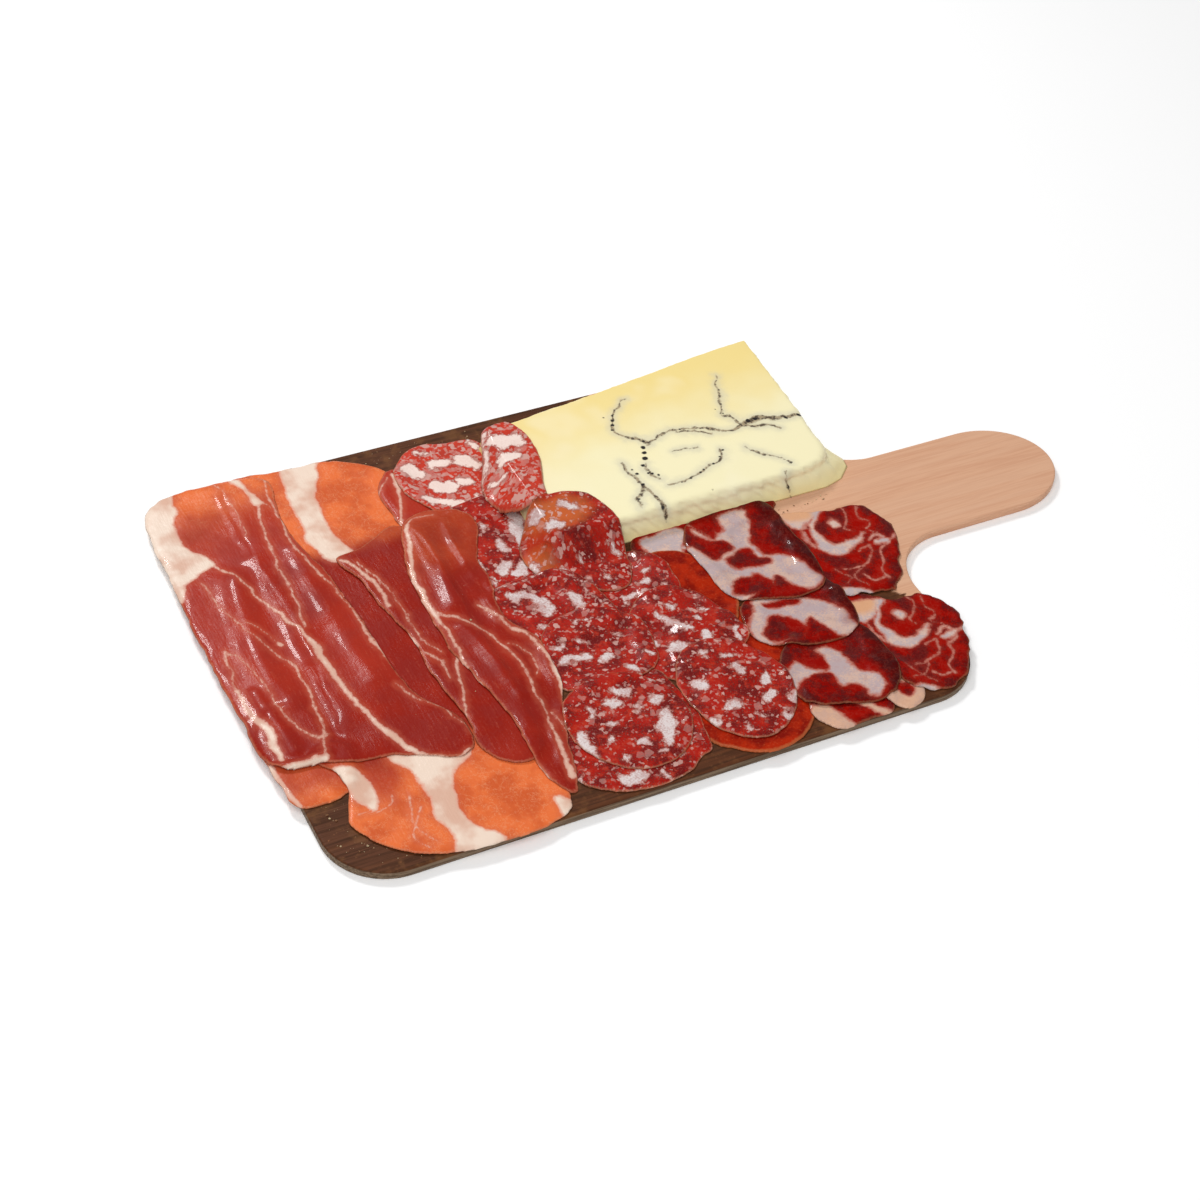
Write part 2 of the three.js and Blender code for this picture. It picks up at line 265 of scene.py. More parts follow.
def add_piece(name, points, faces, finish, node, fields=None):
    """Makes a smooth piece from points in millimetres, in place of a CAD node."""
    mesh = bpy.data.meshes.new(name)
    mesh.from_pydata((points / 1000).tolist(), [], faces)
    mesh.shade_smooth()
    mesh.materials.append(finish.material)
    for field, values in (fields or {}).items():
        kind = "FLOAT_VECTOR" if values.ndim == 2 else "FLOAT"
        key = "vector" if values.ndim == 2 else "value"
        mesh.attributes.new(field, kind, "POINT").data.foreach_set(key, values.ravel())
    piece = bpy.data.objects.new(name, mesh)
    scene.collection.objects.link(piece)
    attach(piece, "root")
    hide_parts(node)
    slot = next(s["material_slot"] for s in frame["record"]["subparts"] if s["node"] == node)


def ring_faces(rings, count, first=0):
    """Quads between closed rings of points, each ring following the last."""
    ring, step = np.meshgrid(np.arange(rings - 1), np.arange(count), indexing="ij")
    near = first + ring * count + step
    side = first + ring * count + (step + 1) % count
    return np.stack([near, side, side + count, near + count], -1).reshape(-1, 4).tolist()


# Rings from the underside's middle band, round the sanded edge, to the top's middle band.
BAND_INSETS = [6, 1.5]
turn = np.linspace(-1, 1, 9) * math.pi / 2
low_edge = EDGE_ROUND * (1 + np.sin(turn))
high_edge = BOARD_TOP - EDGE_ROUND * (1 - np.sin(turn))
insets = np.concatenate([BAND_INSETS, EDGE_ROUND * (1 - np.cos(turn)), BAND_INSETS[::-1]])
heights = np.concatenate([[0, 0], np.where(turn < 0, low_edge, high_edge), [BOARD_TOP, BOARD_TOP]])
board_rings = [board_outline(inset) for inset in insets]
around = len(board_rings[0])
board_points = np.concatenate([
    np.column_stack([ring, np.full(around, height)]) for ring, height in zip(board_rings, heights)
])
board_faces = ring_faces(len(insets), around)
board_faces.append(list(range(around))[::-1])
board_faces.append(list(range(len(board_points) - around, len(board_points))))

STAIN_END = 106.0
STAIN_SLANT = 0.36
STAIN_RAGGED = 12

wood = Finish("board_wood", Specular_IOR_Level=0.15)
grain_place = wood.place((0.035, 1, 1))
fine_grain = wood.clouds(grain_place, 0.9, 4, 0.6)
bare = wood.layers(
    "daa988",
    ("d09c7c", wood.step(fine_grain, 0.38, 0.66)),
    ("ddb192", wood.step(wood.clouds(grain_place, 7, 3), 0.45, 0.7, 0, 0.5)),
)
stain = wood.layers(
    "5a3119",
    ("422410", wood.step(fine_grain, 0.35, 0.65)),
    ("6e3f20", wood.step(wood.clouds(wood.place((0.02, 1, 1)), 3.2, 2), 0.52, 0.75, 0, 0.4)),
    ("744a28", wood.step(wood.clouds(wood.place(), 9, 4, 0.65), 0.48, 0.66, 0, 0.6)),
    ("8e5a38", wood.step(wood.clouds(wood.place(), 2.2, 4, 0.8), 0.62, 0.72, 0, 0.8)),
)
ragged = (wood.clouds(wood.place((0.25, 1, 1)), 2.2, 4, 0.7) - 0.5) * STAIN_RAGGED
past_stain = wood.axis("X") + wood.axis("Y") * STAIN_SLANT + ragged
towards_handle = wood.step(past_stain, STAIN_END, STAIN_END + 2.5)
below_face = 1 - wood.step(wood.axis("Z"), BOARD_TOP - 0.9, BOARD_TOP - 0.35)
edge_wood = wood.mix("806a54", "5e4a38", wood.step(fine_grain, 0.4, 0.6))
wood.connect("Base Color", wood.layers(
    stain, (bare, towards_handle), (edge_wood, below_face * (1 - towards_handle)),
))
wood.connect("Roughness", wood.step(fine_grain, 0.3, 0.7, 0.5, 0.68))
wood.bump(fine_grain, 0.05)
add_piece("board_panel", board_points, board_faces, wood, "board")

# ---- the cheese ----------------------------------------------------------------------------------
# A slab of soft pale cheese with veins of black truffle, cut from a wheel. It lies over the board's
# far corner. Its cut edges are soft, and the corner towards the handle has crumbled and slumped.


def node_corners(node):
    """A CAD solid's corners in millimetres, three for each of its facets."""
    mesh = frame["nodes"][node].data
    points = np.empty(len(mesh.vertices) * 3)
    mesh.vertices.foreach_get("co", points)
    index = np.empty(len(mesh.loops), dtype=int)
    mesh.loops.foreach_get("vertex_index", index)
    return 1000 * points.reshape(-1, 3)[index].reshape(-1, 3, 3)


def noise(x, y, size, seed):
    """Smooth noise from -1 to 1: random heights on a square lattice, eased between its points."""
    table = np.random.default_rng(seed).uniform(-1, 1, (64, 64))
    u, v = x / size + 31.7, y / size + 17.3
    i, j = np.floor(u).astype(int), np.floor(v).astype(int)
    s, t = u - i, v - j
    s, t = s * s * (3 - 2 * s), t * t * (3 - 2 * t)
    i, j, k, m = i % 64, j % 64, (i + 1) % 64, (j + 1) % 64
    near = table[i, j] * (1 - s) + table[k, j] * s
    far = table[i, m] * (1 - s) + table[k, m] * s
    return near * (1 - t) + far * t


def wander(x, y, waves, seed, warp=1.0):
    """Coordinates pushed to and fro by waves, each with an amount and a size in millimetres."""
    push = [
        sum(amount * noise(x, y, size, seed + 2 * axis + k) for k, (amount, size) in enumerate(waves))
        for axis in (0, 1)
    ]
    return x + warp * push[0], y + warp * push[1]


def pairs(numbers):
    """Points from a flat list: x, y, x, y and so on, in millimetres."""
    return np.reshape(numbers, (-1, 2)).astype(float)


def smooth_line(points, closed=False, steps=6):
    """A Catmull-Rom curve through points, with a few straight steps between each two."""
    p = pairs(points)
    q = np.concatenate([p[-1:], p, p[:2]]) if closed else np.concatenate([p[:1], p, p[-1:]])
    t = (np.arange(steps) / steps)[None, :, None]
    a, b, c, d = (q[i:len(q) - 3 + i, None] for i in range(4))
    curve = b + 0.5 * t * (c - a + t * (2 * a - 5 * b + 4 * c - d + t * (3 * (b - c) + d - a)))
    curve = curve.reshape(-1, 2)
    return curve if closed else np.concatenate([curve, p[-1:]])


def to_segments(x, y, start, stop, reach=0.0):
    """Distance from each point to the nearest of many segments, less a reach given per segment."""
    across = stop - start
    px, py = x.ravel()[:, None] - start[:, 0], y.ravel()[:, None] - start[:, 1]
    share = np.clip((px * across[:, 0] + py * across[:, 1]) / ((across ** 2).sum(1) + 1e-9), 0, 1)
    away = np.hypot(px - share * across[:, 0], py - share * across[:, 1])
    return (away - reach).min(1).reshape(x.shape)


def inside_segments(x, y, start, stop):
    """Whether each point is inside the closed outline that the segments make, in any order."""
    px, py = x.ravel()[:, None], y.ravel()[:, None]
    spans = (start[:, 1] > py) != (stop[:, 1] > py)
    rise = np.where(stop[:, 1] == start[:, 1], 1e-9, stop[:, 1] - start[:, 1])
    cut = start[:, 0] + (py - start[:, 1]) / rise * (stop[:, 0] - start[:, 0])
    return ((spans & (px < cut)).sum(1) % 2 == 1).reshape(x.shape)


def stroke(x, y, widths, points):
    """Distance outside a smooth line of one width, or of widths spaced evenly along it."""
    line = smooth_line(points)
    widths = np.atleast_1d(widths)
    share = np.arange(len(line) - 1) / (len(line) - 2)
    reach = np.interp(share, np.linspace(0, 1, len(widths)), widths) / 2
    return to_segments(x, y, line[:-1], line[1:], reach)


def patch(x, y, points):
    """Distance outside a smooth closed patch, negative within it."""
    line = smooth_line(points, closed=True)
    ends = np.roll(line, -1, 0)
    away = to_segments(x, y, line, ends)
    return np.where(inside_segments(x, y, line, ends), -away, away)


def ring_at(corners, height, middle):
    """The corners of a CAD solid at one height, in order round a middle point."""
    points = corners.reshape(-1, 3)
    ring = np.unique(np.round(points[np.abs(points[:, 2] - height) < 0.01], 3), axis=0)
    ring = ring[np.hypot(*(ring[:, :2] - middle).T) > 5]
    angle = np.arctan2(ring[:, 1] - middle[1], ring[:, 0] - middle[0])
    order = np.argsort(angle)
    return angle[order], ring[order, :2]


CHEESE_MIDDLE = np.array([75.0, 58.0])
CHEESE_AROUND = 480
RIM_DROP = 0.8
FOOT_SPREAD = 0.5
SKIN_WAVE = 0.25
cheese_corners = node_corners("cheese_slab")
CHEESE_TOP = cheese_corners[..., 2].max()
cheese_turn = np.linspace(-math.pi, math.pi, CHEESE_AROUND, endpoint=False)


def round_ring(height):
    """The slab's outline at a height, at even angles, straight from corner to corner."""
    angle, ring = ring_at(cheese_corners, height, CHEESE_MIDDLE)
    return np.stack([np.interp(cheese_turn, angle, ring[:, k], period=2 * math.pi) for k in (0, 1)], 1)


foot, rim = round_ring(BOARD_TOP), round_ring(CHEESE_TOP - RIM_DROP)
outward = (rim - CHEESE_MIDDLE) / np.hypot(*(rim - CHEESE_MIDDLE).T)[:, None]
foot += outward * FOOT_SPREAD
soft_edge = 1.4 + 2.6 * np.clip((60 - rim[:, 1]) / 30, 0, 1)

# Down the slab from the middle of its top: the flat top, the soft edge, the side and the base.
rows = []
for share in np.linspace(0.01, 1, 130):
    spot = CHEESE_MIDDLE + (rim - outward * soft_edge[:, None] - CHEESE_MIDDLE) * share
    rows.append((spot, np.full(CHEESE_AROUND, CHEESE_TOP)))
for angle in np.linspace(0, math.pi / 2, 10)[1:]:
    spot = rim - outward * (soft_edge * (1 - math.sin(angle)))[:, None]
    rows.append((spot, CHEESE_TOP - soft_edge * (1 - math.cos(angle))))
for share in np.linspace(0, 1, 12)[1:]:
    rows.append((rim + (foot - rim) * share, (CHEESE_TOP - soft_edge) * (1 - share) + BOARD_TOP * share))
for share in (0.6, 0.02):
    rows.append((CHEESE_MIDDLE + (foot - CHEESE_MIDDLE) * share, np.full(CHEESE_AROUND, BOARD_TOP)))
cheese_points = np.concatenate([np.column_stack(row) for row in rows])
x, y, z = cheese_points.T
lift = np.clip((z - BOARD_TOP) / 4, 0, 1)
side = np.clip((CHEESE_TOP + 0.1 - z) / 1.5, 0, 1)
crumbly = np.clip((noise(x, y, 4, 5) + 0.9 * noise(x + z, y - z, 1.8, 6)) * 0.7, -0.9, 0.7) * side * lift
x += crumbly * (x - CHEESE_MIDDLE[0]) / 80
y += crumbly * (y - CHEESE_MIDDLE[1]) / 50
z += lift * (1 - side) * (SKIN_WAVE * (noise(x, y, 35, 7) - 1) + 0.08 * noise(x, y, 9, 8))
cheese_faces = [face[::-1] for face in ring_faces(len(rows), CHEESE_AROUND)]
cheese_faces.append(list(range(CHEESE_AROUND)))
cheese_faces.append(list(range(len(cheese_points)))[-CHEESE_AROUND:][::-1])

VEINS = [
    ((1.4, 2.6, 2.2, 1.6, 1.4, 1.2), [113, 55, 118, 56, 124, 56, 131, 52.6, 136.5, 52.5, 141, 52]),
    ((1.4, 1.2, 1, 0.5), [114, 54, 118.6, 51.4, 124, 50.6, 127.6, 47]),
    ((0.7, 0.6, 0.8, 0.8, 1, 0.9, 1, 1.3), [
        69, 59.4, 77.3, 61.8, 84.4, 61.8, 91, 60.8, 97, 59.4, 101.3, 54.5, 109.6, 53.4, 113.3, 55]),
    ((0.4, 0.7, 0.6), [83.6, 60.4, 91, 58.6, 97.6, 55]),
    ((0.3, 0.5, 0.6, 0.5, 0.7, 0.9), [119, 89, 115, 80.7, 111.5, 71, 108.7, 64.6, 111.8, 61, 112.3, 55]),
    ((0.3, 0.5, 0.8, 0.9, 0.6, 0.5), [72.8, 88.4, 67.7, 84, 63.7, 81, 60.8, 76, 59.5, 71, 62.4, 65.4]),
    ((0.8, 1.1, 0.9, 0.8), [62.4, 65.4, 65.7, 63.7, 68.3, 60.6, 68.7, 57.4]),
    ((0.6, 0.8, 0.9, 1, 1, 1.2, 1.6), [52.8, 50.6, 52.5, 46, 54, 41, 54.5, 36.7, 55, 31, 55.7, 23, 56, 17.7]),
    ((0.7, 0.8, 0.9, 0.5), [54.4, 33.7, 51, 30, 48.3, 27, 46.7, 22.8]),
    ((0.4, 0.8, 0.9, 0.6), [61.4, 46, 60.2, 43.6, 61.3, 39, 62.3, 34.6]),
    ((0.4, 0.5, 0.6, 0.6, 0.7, 0.6, 0.5), [
        63.6, 30.5, 69, 30.5, 74.7, 30.7, 80, 33, 87, 35.6, 92.6, 38, 96.6, 42.7]),
    ((0.3, 0.4, 0.2), [77, 49.3, 81.7, 49, 87, 48.5]),
    ((0.3, 0.5, 0.6, 0.6, 0.5), [106.6, 40.4, 109, 36.8, 113.4, 32.3, 117, 28.7, 119.8, 24.7]),
    ((0.4, 0.6, 0.4), [115.3, 20.7, 114.4, 18, 115.4, 13.5]),
]
GRAINS = [
    (115.1, 79.7, 0.5), (113.4, 75.9, 0.4), (111.3, 70.7, 0.5), (107.2, 68.4, 0.3), (108.7, 64.6, 0.5),
    (63.3, 80.6, 0.6), (61.8, 77.6, 0.7), (60.4, 74.9, 0.8), (58.8, 71.9, 0.5), (59.1, 80.8, 0.3),
    (65.8, 56.7, 1), (64.6, 53.4, 1), (63.2, 50, 1.2), (60.2, 46.1, 0.9), (55.3, 42.1, 0.8), (60, 40.6, 0.7),
    (61.3, 39.7, 0.6), (63.4, 38, 0.7), (54.6, 45.2, 0.5), (55.9, 19.5, 0.7), (70.2, 30.1, 0.4),
    (74.9, 31, 0.5), (80.6, 32.9, 0.5), (82.7, 34, 0.5), (88.3, 35.8, 0.6), (93.2, 39.2, 0.5),
    (96.6, 42.7, 0.6), (114.4, 9.6, 1.3), (142.3, 78.5, 0.6), (96.5, 14.9, 0.6), (79.8, 21, 0.3),
    (116.5, 56.2, 1.2), (120, 56.4, 1), (133, 52.2, 0.9), (139.5, 52, 1), (86, 61.9, 0.5), (119.8, 24.7, 0.6),
    (114.6, 17, 0.5), (48.5, 27, 0.6), (54.3, 35, 0.8), (67.8, 60.5, 0.7),
]
grain_x, grain_y, grain_size = np.array(GRAINS).T
grain_at = np.stack([grain_x, grain_y], 1)
wander_x, wander_y = wander(x, y, ((0.9, 5), (0.5, 2.2)), 14)
vein = np.min([stroke(wander_x, wander_y, widths, points) for widths, points in VEINS], 0)
speck = to_segments(x, y, grain_at, grain_at + 0.01, grain_size)

cheese = Finish("truffle_cheese", Roughness=0.42, Specular_IOR_Level=0.35)
cheese_place = cheese.place()
veins = cheese.attribute("vein")
crooked = cheese.clouds(cheese_place, 2.4, 5, 0.75) - 0.5
patchy = cheese.clouds(cheese_place, 28, 2)
specks = 1 - cheese.step(cheese.attribute("speck") + crooked * 1.6, -0.25, 0.3)
line = 1 - cheese.step(veins + crooked * 3.0, -0.35, 0.6)
dark_bits = line * cheese.step(cheese.clouds(cheese_place, 1.8, 3), 0.49, 0.56)
halo = 1 - cheese.step(veins + crooked * 4, 0, 6.0)
cheese.connect("Base Color", cheese.layers(
    "f9f0c4",
    ("f5dd90", cheese.step(cheese.axis("Y") + (patchy - 0.5) * 50, 40, 100)),
    ("fdf6d8", cheese.step(patchy, 0.5, 0.7, 0, 0.35)),
    ("cfcab4", halo * halo * 0.55),
    ("f2e09c", cheese.step(cheese.axis("Z"), BOARD_TOP, CHEESE_TOP - 2.5, 0.75, 0)),
    ("8a7050", line * 0.75),
    ("3a2c20", dark_bits * 0.85),
    ("1a120e", specks),
))
cheese.bump(cheese.clouds(cheese_place, 1.2, 3) * 0.4 + (1 - dark_bits.higher(specks)), 0.09)
fields = {"vein": vein, "speck": speck}
add_piece("cheese_slab_cut", cheese_points, cheese_faces, cheese, "cheese_slab", fields)

# ---- how a slice is laid -------------------------------------------------------------------------
# Every slice is soft and thin. It takes its outline from its CAD solid, settles on whatever already
# lies under it, bridges the steps there, and its cut edge is thin, wavy and a little raised.

STEP = 0.75
MARGIN = 4.0
CLEARANCE = 0.06
OVERHANG = 0.8
UNEVEN = 0.3
EDGE_TAPER = 1.5
SLIDE_X, SLIDE_Y = 0.55, 0.94
FAR = 30.0
plan_y, plan_x = np.mgrid[-124:124:STEP, -150:156:STEP]
pile = np.full(plan_x.shape, BOARD_TOP)
SIDES = ((0, 1), (1, 0), (0, -1), (-1, 0))
CORNERS = ((1, 1), (1, -1), (-1, 1), (-1, -1))


def shifted(field, down, right):
    """A field moved by whole steps, with its border repeated."""
    wide = np.pad(field, 1, mode="edge")
    return wide[1 - down:wide.shape[0] - 1 - down, 1 - right:wide.shape[1] - 1 - right]


def softened(field, times):
    """A field averaged with its neighbours, again and again."""
    for _ in range(times):
        sides = sum(shifted(field, *way) for way in SIDES)
        field = (4 * field + 2 * sides + sum(shifted(field, *way) for way in CORNERS)) / 16
    return field


def outline_distance(node, x, y):
    """Distance outside a slice's CAD outline: the edges that only one upward facet has."""
    corners = node_corners(node)
    normal = np.cross(corners[:, 1] - corners[:, 0], corners[:, 2] - corners[:, 0])
    upward = corners[normal[:, 2] > 0.3 * np.linalg.norm(normal, axis=1)][..., :2]
    edges = np.concatenate([upward[:, [i, (i + 1) % 3]] for i in range(3)]).round(4)
    first, second = edges[:, 0], edges[:, 1]
    swapped = (first[:, 0] > second[:, 0]) | ((first[:, 0] == second[:, 0]) & (first[:, 1] > second[:, 1]))
    edges[swapped] = edges[swapped][:, ::-1]
    edges, counts = np.unique(edges.reshape(-1, 4), axis=0, return_counts=True)
    start, stop = edges[counts == 1, :2], edges[counts == 1, 2:]
    away = to_segments(x, y, start, stop)
    return np.where(inside_segments(x, y, start, stop), -away, away)


def settle(under, steepest):
    """The lowest sheet over what is under it that falls no more steeply than a slope allows."""
    sheet = under
    for _ in range(16):
        for down, right in SIDES + CORNERS:
            fall = steepest * STEP * math.hypot(down, right)
            sheet = np.maximum(sheet, shifted(sheet, down, right) - fall)
    for _ in range(6):
        sheet = np.maximum(softened(sheet, 1), under)
    return sheet


def ease(value):
    """A smooth rise from 0 to 1 as the value goes from 0 to 1."""
    value = np.clip(value, 0, 1)
    return value * value * (3 - 2 * value)


def lay(node, seed, finish, thickness, steepest=0.4, curl=0.12, wave=0.5, relief=None, also=None,
        warp=1.0, **fields):
    """Lays a slice: its outline with a wavy edge, the sheet it settles to, and its two skins."""
    low, high = (1000 * np.array(corner)[:2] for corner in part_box(node))
    if also is not None:
        low, high = np.min([low, *pairs(also)], 0), np.max([high, *pairs(also)], 0)
    rows = slice(*np.searchsorted(plan_y[:, 0], (low[1] - MARGIN, high[1] + MARGIN)))
    columns = slice(*np.searchsorted(plan_x[0], (low[0] - MARGIN, high[0] + MARGIN)))
    x, y = plan_x[rows, columns], plan_y[rows, columns]
    out = outline_distance(node, x, y)
    if also is not None:
        out = np.minimum(out, patch(x, y, also))
    out = softened(out, 8) + wave * (noise(x, y, 7, seed) + 0.5 * noise(x, y, 3, seed + 1))
    held = pile[rows, columns]
    sheet = settle(np.where(out < OVERHANG, held + CLEARANCE, -50), steepest)
    sheet = sheet + curl * (0.6 + noise(x, y, 16, seed + 2)).clip(0) * np.exp(np.minimum(out, 0) / 2.5)
    sheet = sheet + UNEVEN * (1 + noise(x, y, 14, seed + 3)) * ease(-out / 4)
    if relief is not None:
        sheet = sheet + relief(x, y)
    round_off = np.clip(-out / EDGE_TAPER, 0, 1)
    upper = sheet + thickness * np.sqrt(1 - (1 - round_off) ** 2)
    pile[rows, columns] = np.where(out < 0, np.maximum(upper, held), held)

    inside = out < 0
    cell = inside[:-1, :-1] | inside[1:, :-1] | inside[:-1, 1:] | inside[1:, 1:]
    used = np.zeros(inside.shape, bool)
    for part in (used[:-1, :-1], used[1:, :-1], used[:-1, 1:], used[1:, 1:]):
        part |= cell
    slope_y, slope_x = np.gradient(out, STEP)
    steep = np.maximum(slope_x ** 2 + slope_y ** 2, 0.2)
    rim_x = np.where(inside, x, x - out * slope_x / steep)
    rim_y = np.where(inside, y, y - out * slope_y / steep)
    upper = np.where(inside, upper, sheet + 0.3 * thickness)
    core = used & inside
    above = np.cumsum(used).reshape(used.shape) - 1
    below = np.where(core, used.sum() + np.cumsum(core).reshape(used.shape) - 1, above)
    points = np.concatenate([
        np.column_stack([rim_x[used], rim_y[used], upper[used]]),
        np.column_stack([x[core], y[core], sheet[core]]),
    ])

    def quads(index):
        near, right, across, far = index[:-1, :-1], index[:-1, 1:], index[1:, 1:], index[1:, :-1]
        return np.stack([near[cell], right[cell], across[cell], far[cell]], 1)

    faces = np.concatenate([quads(above), quads(below)[:, ::-1]]).tolist()
    angle = seed * 2.4
    grain = np.stack([
        x * math.cos(angle) - y * math.sin(angle) + 97 * seed,
        x * math.sin(angle) + y * math.cos(angle) - 61 * seed,
        np.zeros(x.shape),
    ], -1)
    # Patterns are set out as they show at board level from the near left, so they slide with height.
    lift = sheet[core].mean() + thickness - BOARD_TOP
    drawn_x, drawn_y = wander(x, y, ((0.9, 6), (0.4, 2.5)), seed + 4, warp)
    drawn = drawn_x + SLIDE_X * lift, drawn_y + SLIDE_Y * lift
    kept = {"out": out, "grain": grain, **{field: make(*drawn) for field, make in fields.items()}}
    kept = {field: np.concatenate([values[used], values[core]]) for field, values in kept.items()}
    add_piece(node + "_cut", points, faces, finish, node, kept)


def shape_field(strokes=(), patches=(), holes=()):
    """A field of distance outside some strokes and patches, less the holes cut out of the patches."""
    def make(x, y):
        field = np.full(x.shape, FAR)
        for points in patches:
            field = np.minimum(field, patch(x, y, points))
        for points in holes:
            field = np.maximum(field, -patch(x, y, points))
        for widths, points in strokes:
            field = np.minimum(field, stroke(x, y, widths, points))
        return field
    return make


def even(level):
    """A field with one value all over."""
    return lambda x, y: np.full(x.shape, float(level))


def glow(x, y, middle, radii, reach):
    """A soft round patch: 1 within it, and 0 where the distance in radii passes the reach."""
    return ease(reach - np.hypot((x - middle[0]) / radii[0], (y - middle[1]) / radii[1]))


def hump(x, y, middle, radii):
    """A bell-shaped patch, 1 at its middle."""
    return np.exp(-((x - middle[0]) / radii[0]) ** 2 - ((y - middle[1]) / radii[1]) ** 2)


def meat_finish(name, cloud_size, fine_size, fine_roughness, **constants):
    """A finish for a meat, its own coordinates, the distance to its edge, and coarse and fine noise."""
    meat = Finish(name, **constants)
    spot = meat.attribute("grain", "Vector")
    cloud = meat.clouds(spot, cloud_size, 3)
    return meat, spot, meat.attribute("out"), cloud, meat.clouds(spot, fine_size, 4, fine_roughness)


# ---- dry-cured ham, the slices on the board --------------------------------------------------------
# Long thin slices of raw cured ham: moist red lean that turns orange at its ends, with cream bands,
# lines and edges of fat. The first three lie flat on the board.

HAM_THICK = 0.8

ham, spot, out, cloud, fine = meat_finish(
    "cured_ham", 16, 1.1, 0.65, Specular_IOR_Level=0.09, Coat_Roughness=0.08,
)
thread = ham.clouds(ham.place((1.2, 0.12, 1)), 1.1, 3, 0.6)
web = (ham.clouds(spot, 9, 5, 0.7) - 0.5).math("ABSOLUTE")
red = ham.layers(
    "ad3120",
    ("8e1a0e", ham.step(ham.attribute("deep") + (cloud - 0.5) * 1.2, 0, 1)),
    ("c05a42", ham.step(fine * 0.4 + thread * 0.6, 0.52, 0.72, 0, 0.35)),
)
warm = ham.layers(
    "e8733e",
    ("d05a2a", ham.step(cloud, 0.4, 0.62)),
    ("ee9c66", ham.step(fine * 0.6 + thread * 0.4, 0.5, 0.7, 0, 0.35)),
    ("efae84", (1 - ham.step(web, 0.002, 0.012)) * 0.32),
)
wobble = (ham.clouds(spot, 2.2, 5, 0.75) - 0.5) * 2.2
near_fat = ham.attribute("fat") + wobble
white = 1 - ham.step(near_fat, -0.6, 0.25)
core = 1 - ham.step(near_fat, -1.5, -0.4)
lean = ham.layers(
    red,
    (warm, ham.attribute("orange")),
    ("c8644a", (1 - ham.step(near_fat + wobble, 0.0, 2.6)) * 0.3),
    ("d09078", ham.step(ham.clouds(spot, 5.0, 5, 0.75), 0.66, 0.72, 0, 0.35)),
    ("d08866", ham.step(out + (fine - 0.5) * 1.5, -1.1, -0.2) * 0.4),
)
cream = ham.mix("f0dcca", "dcb49e", ham.step(cloud, 0.38, 0.62))
cream = ham.mix("e6b8a4", cream, core * 0.85 + 0.15)
ham.connect("Base Color", ham.mix(lean, cream, white * (0.72 + 0.23 * core)))
ham.connect("Roughness", ham.step(cloud + (fine - 0.5) * 0.6, 0.3, 0.7, 0.22, 0.45))
ham.connect("Coat Weight", ham.step(cloud + (fine - 0.5) * 0.5, 0.46, 0.6, 0.0, 0.17))
ham.bump(thread * 0.5 + fine * 0.35 + ham.clouds(spot, 6, 3) * 1.2 + white * 0.4, 0.2)
lay_ham = partial(lay, finish=ham, thickness=HAM_THICK)

lay_ham("ham_under_left", 11, orange=lambda x, y: 0.35 + 0.65 * ease((-58 - y) / 9), deep=even(0.3), also=[
    -137, -48, -138, -60, -134, -70, -124, -70, -115, -67, -110, -56, -112, -46,
], fat=shape_field([((3, 2), [-139, -46, -138, -58, -136, -68])]))
lay_ham(
    "ham_under", 12, curl=0.35,
    orange=lambda x, y: 1 - 0.75 * glow(x, y, (-104, -66), (9, 12), 1.4) - ease((62 - np.abs(y)) / 12),
    deep=lambda x, y: 0.2 + 0.6 * ease((66 - np.abs(y)) / 12),
    also=[-124, -46, -119, -60, -117, -70, -112, -82, -100, -74, -98, -50],
    fat=shape_field(patches=[
        [-75, 113, -79, 95, -80.5, 80, -82, 65, -80, 56, -77, 49, -66, 49, -69, 62, -70, 74, -69, 85,
         -66, 95, -60, 108, -58, 113],
        [-98, -56, -93, -68, -92, -80, -94, -90, -92, -100, -92, -113, -76, -114, -76, -106, -80, -102,
         -83, -92, -82, -82, -78, -74, -70, -68, -66, -58, -82, -48],
        [-51, -99, -46, -101, -40, -106, -45, -114, -52, -114],
        [-119, -56, -111, -58, -109, -66, -109, -76, -112, -80, -116, -74, -119, -64],
    ], strokes=[
        ((0.8, 0.6), [-98, -78, -102, -90, -98, -102]), ((0.7, 0.6), [-97, -84, -104, -97, -101, -104]),
        (0.7, [-118, -80, -108, -80, -104, -76]),
    ]),
)
lay_ham("ham_pale_end", 13, orange=even(0), deep=even(0.15), fat=shape_field([
    ((3.8, 1.8, 1.4, 1.8), [-33, 89, -35, 80, -38, 70, -44, 57]),
    ((0.9, 0.8), [-37, 89, -44, 80, -45.5, 70, -42, 58]),
]))

# ---- coppa and lean loin ---------------------------------------------------------------------------
# Round slices of cured pork neck, deep red with grey-white marbling, shingled from the cheese to the
# near edge, and three thinner slices of lean loin beside them that let the light through.

COPPA_THICK = 0.95
LEAN_THICK = 0.9

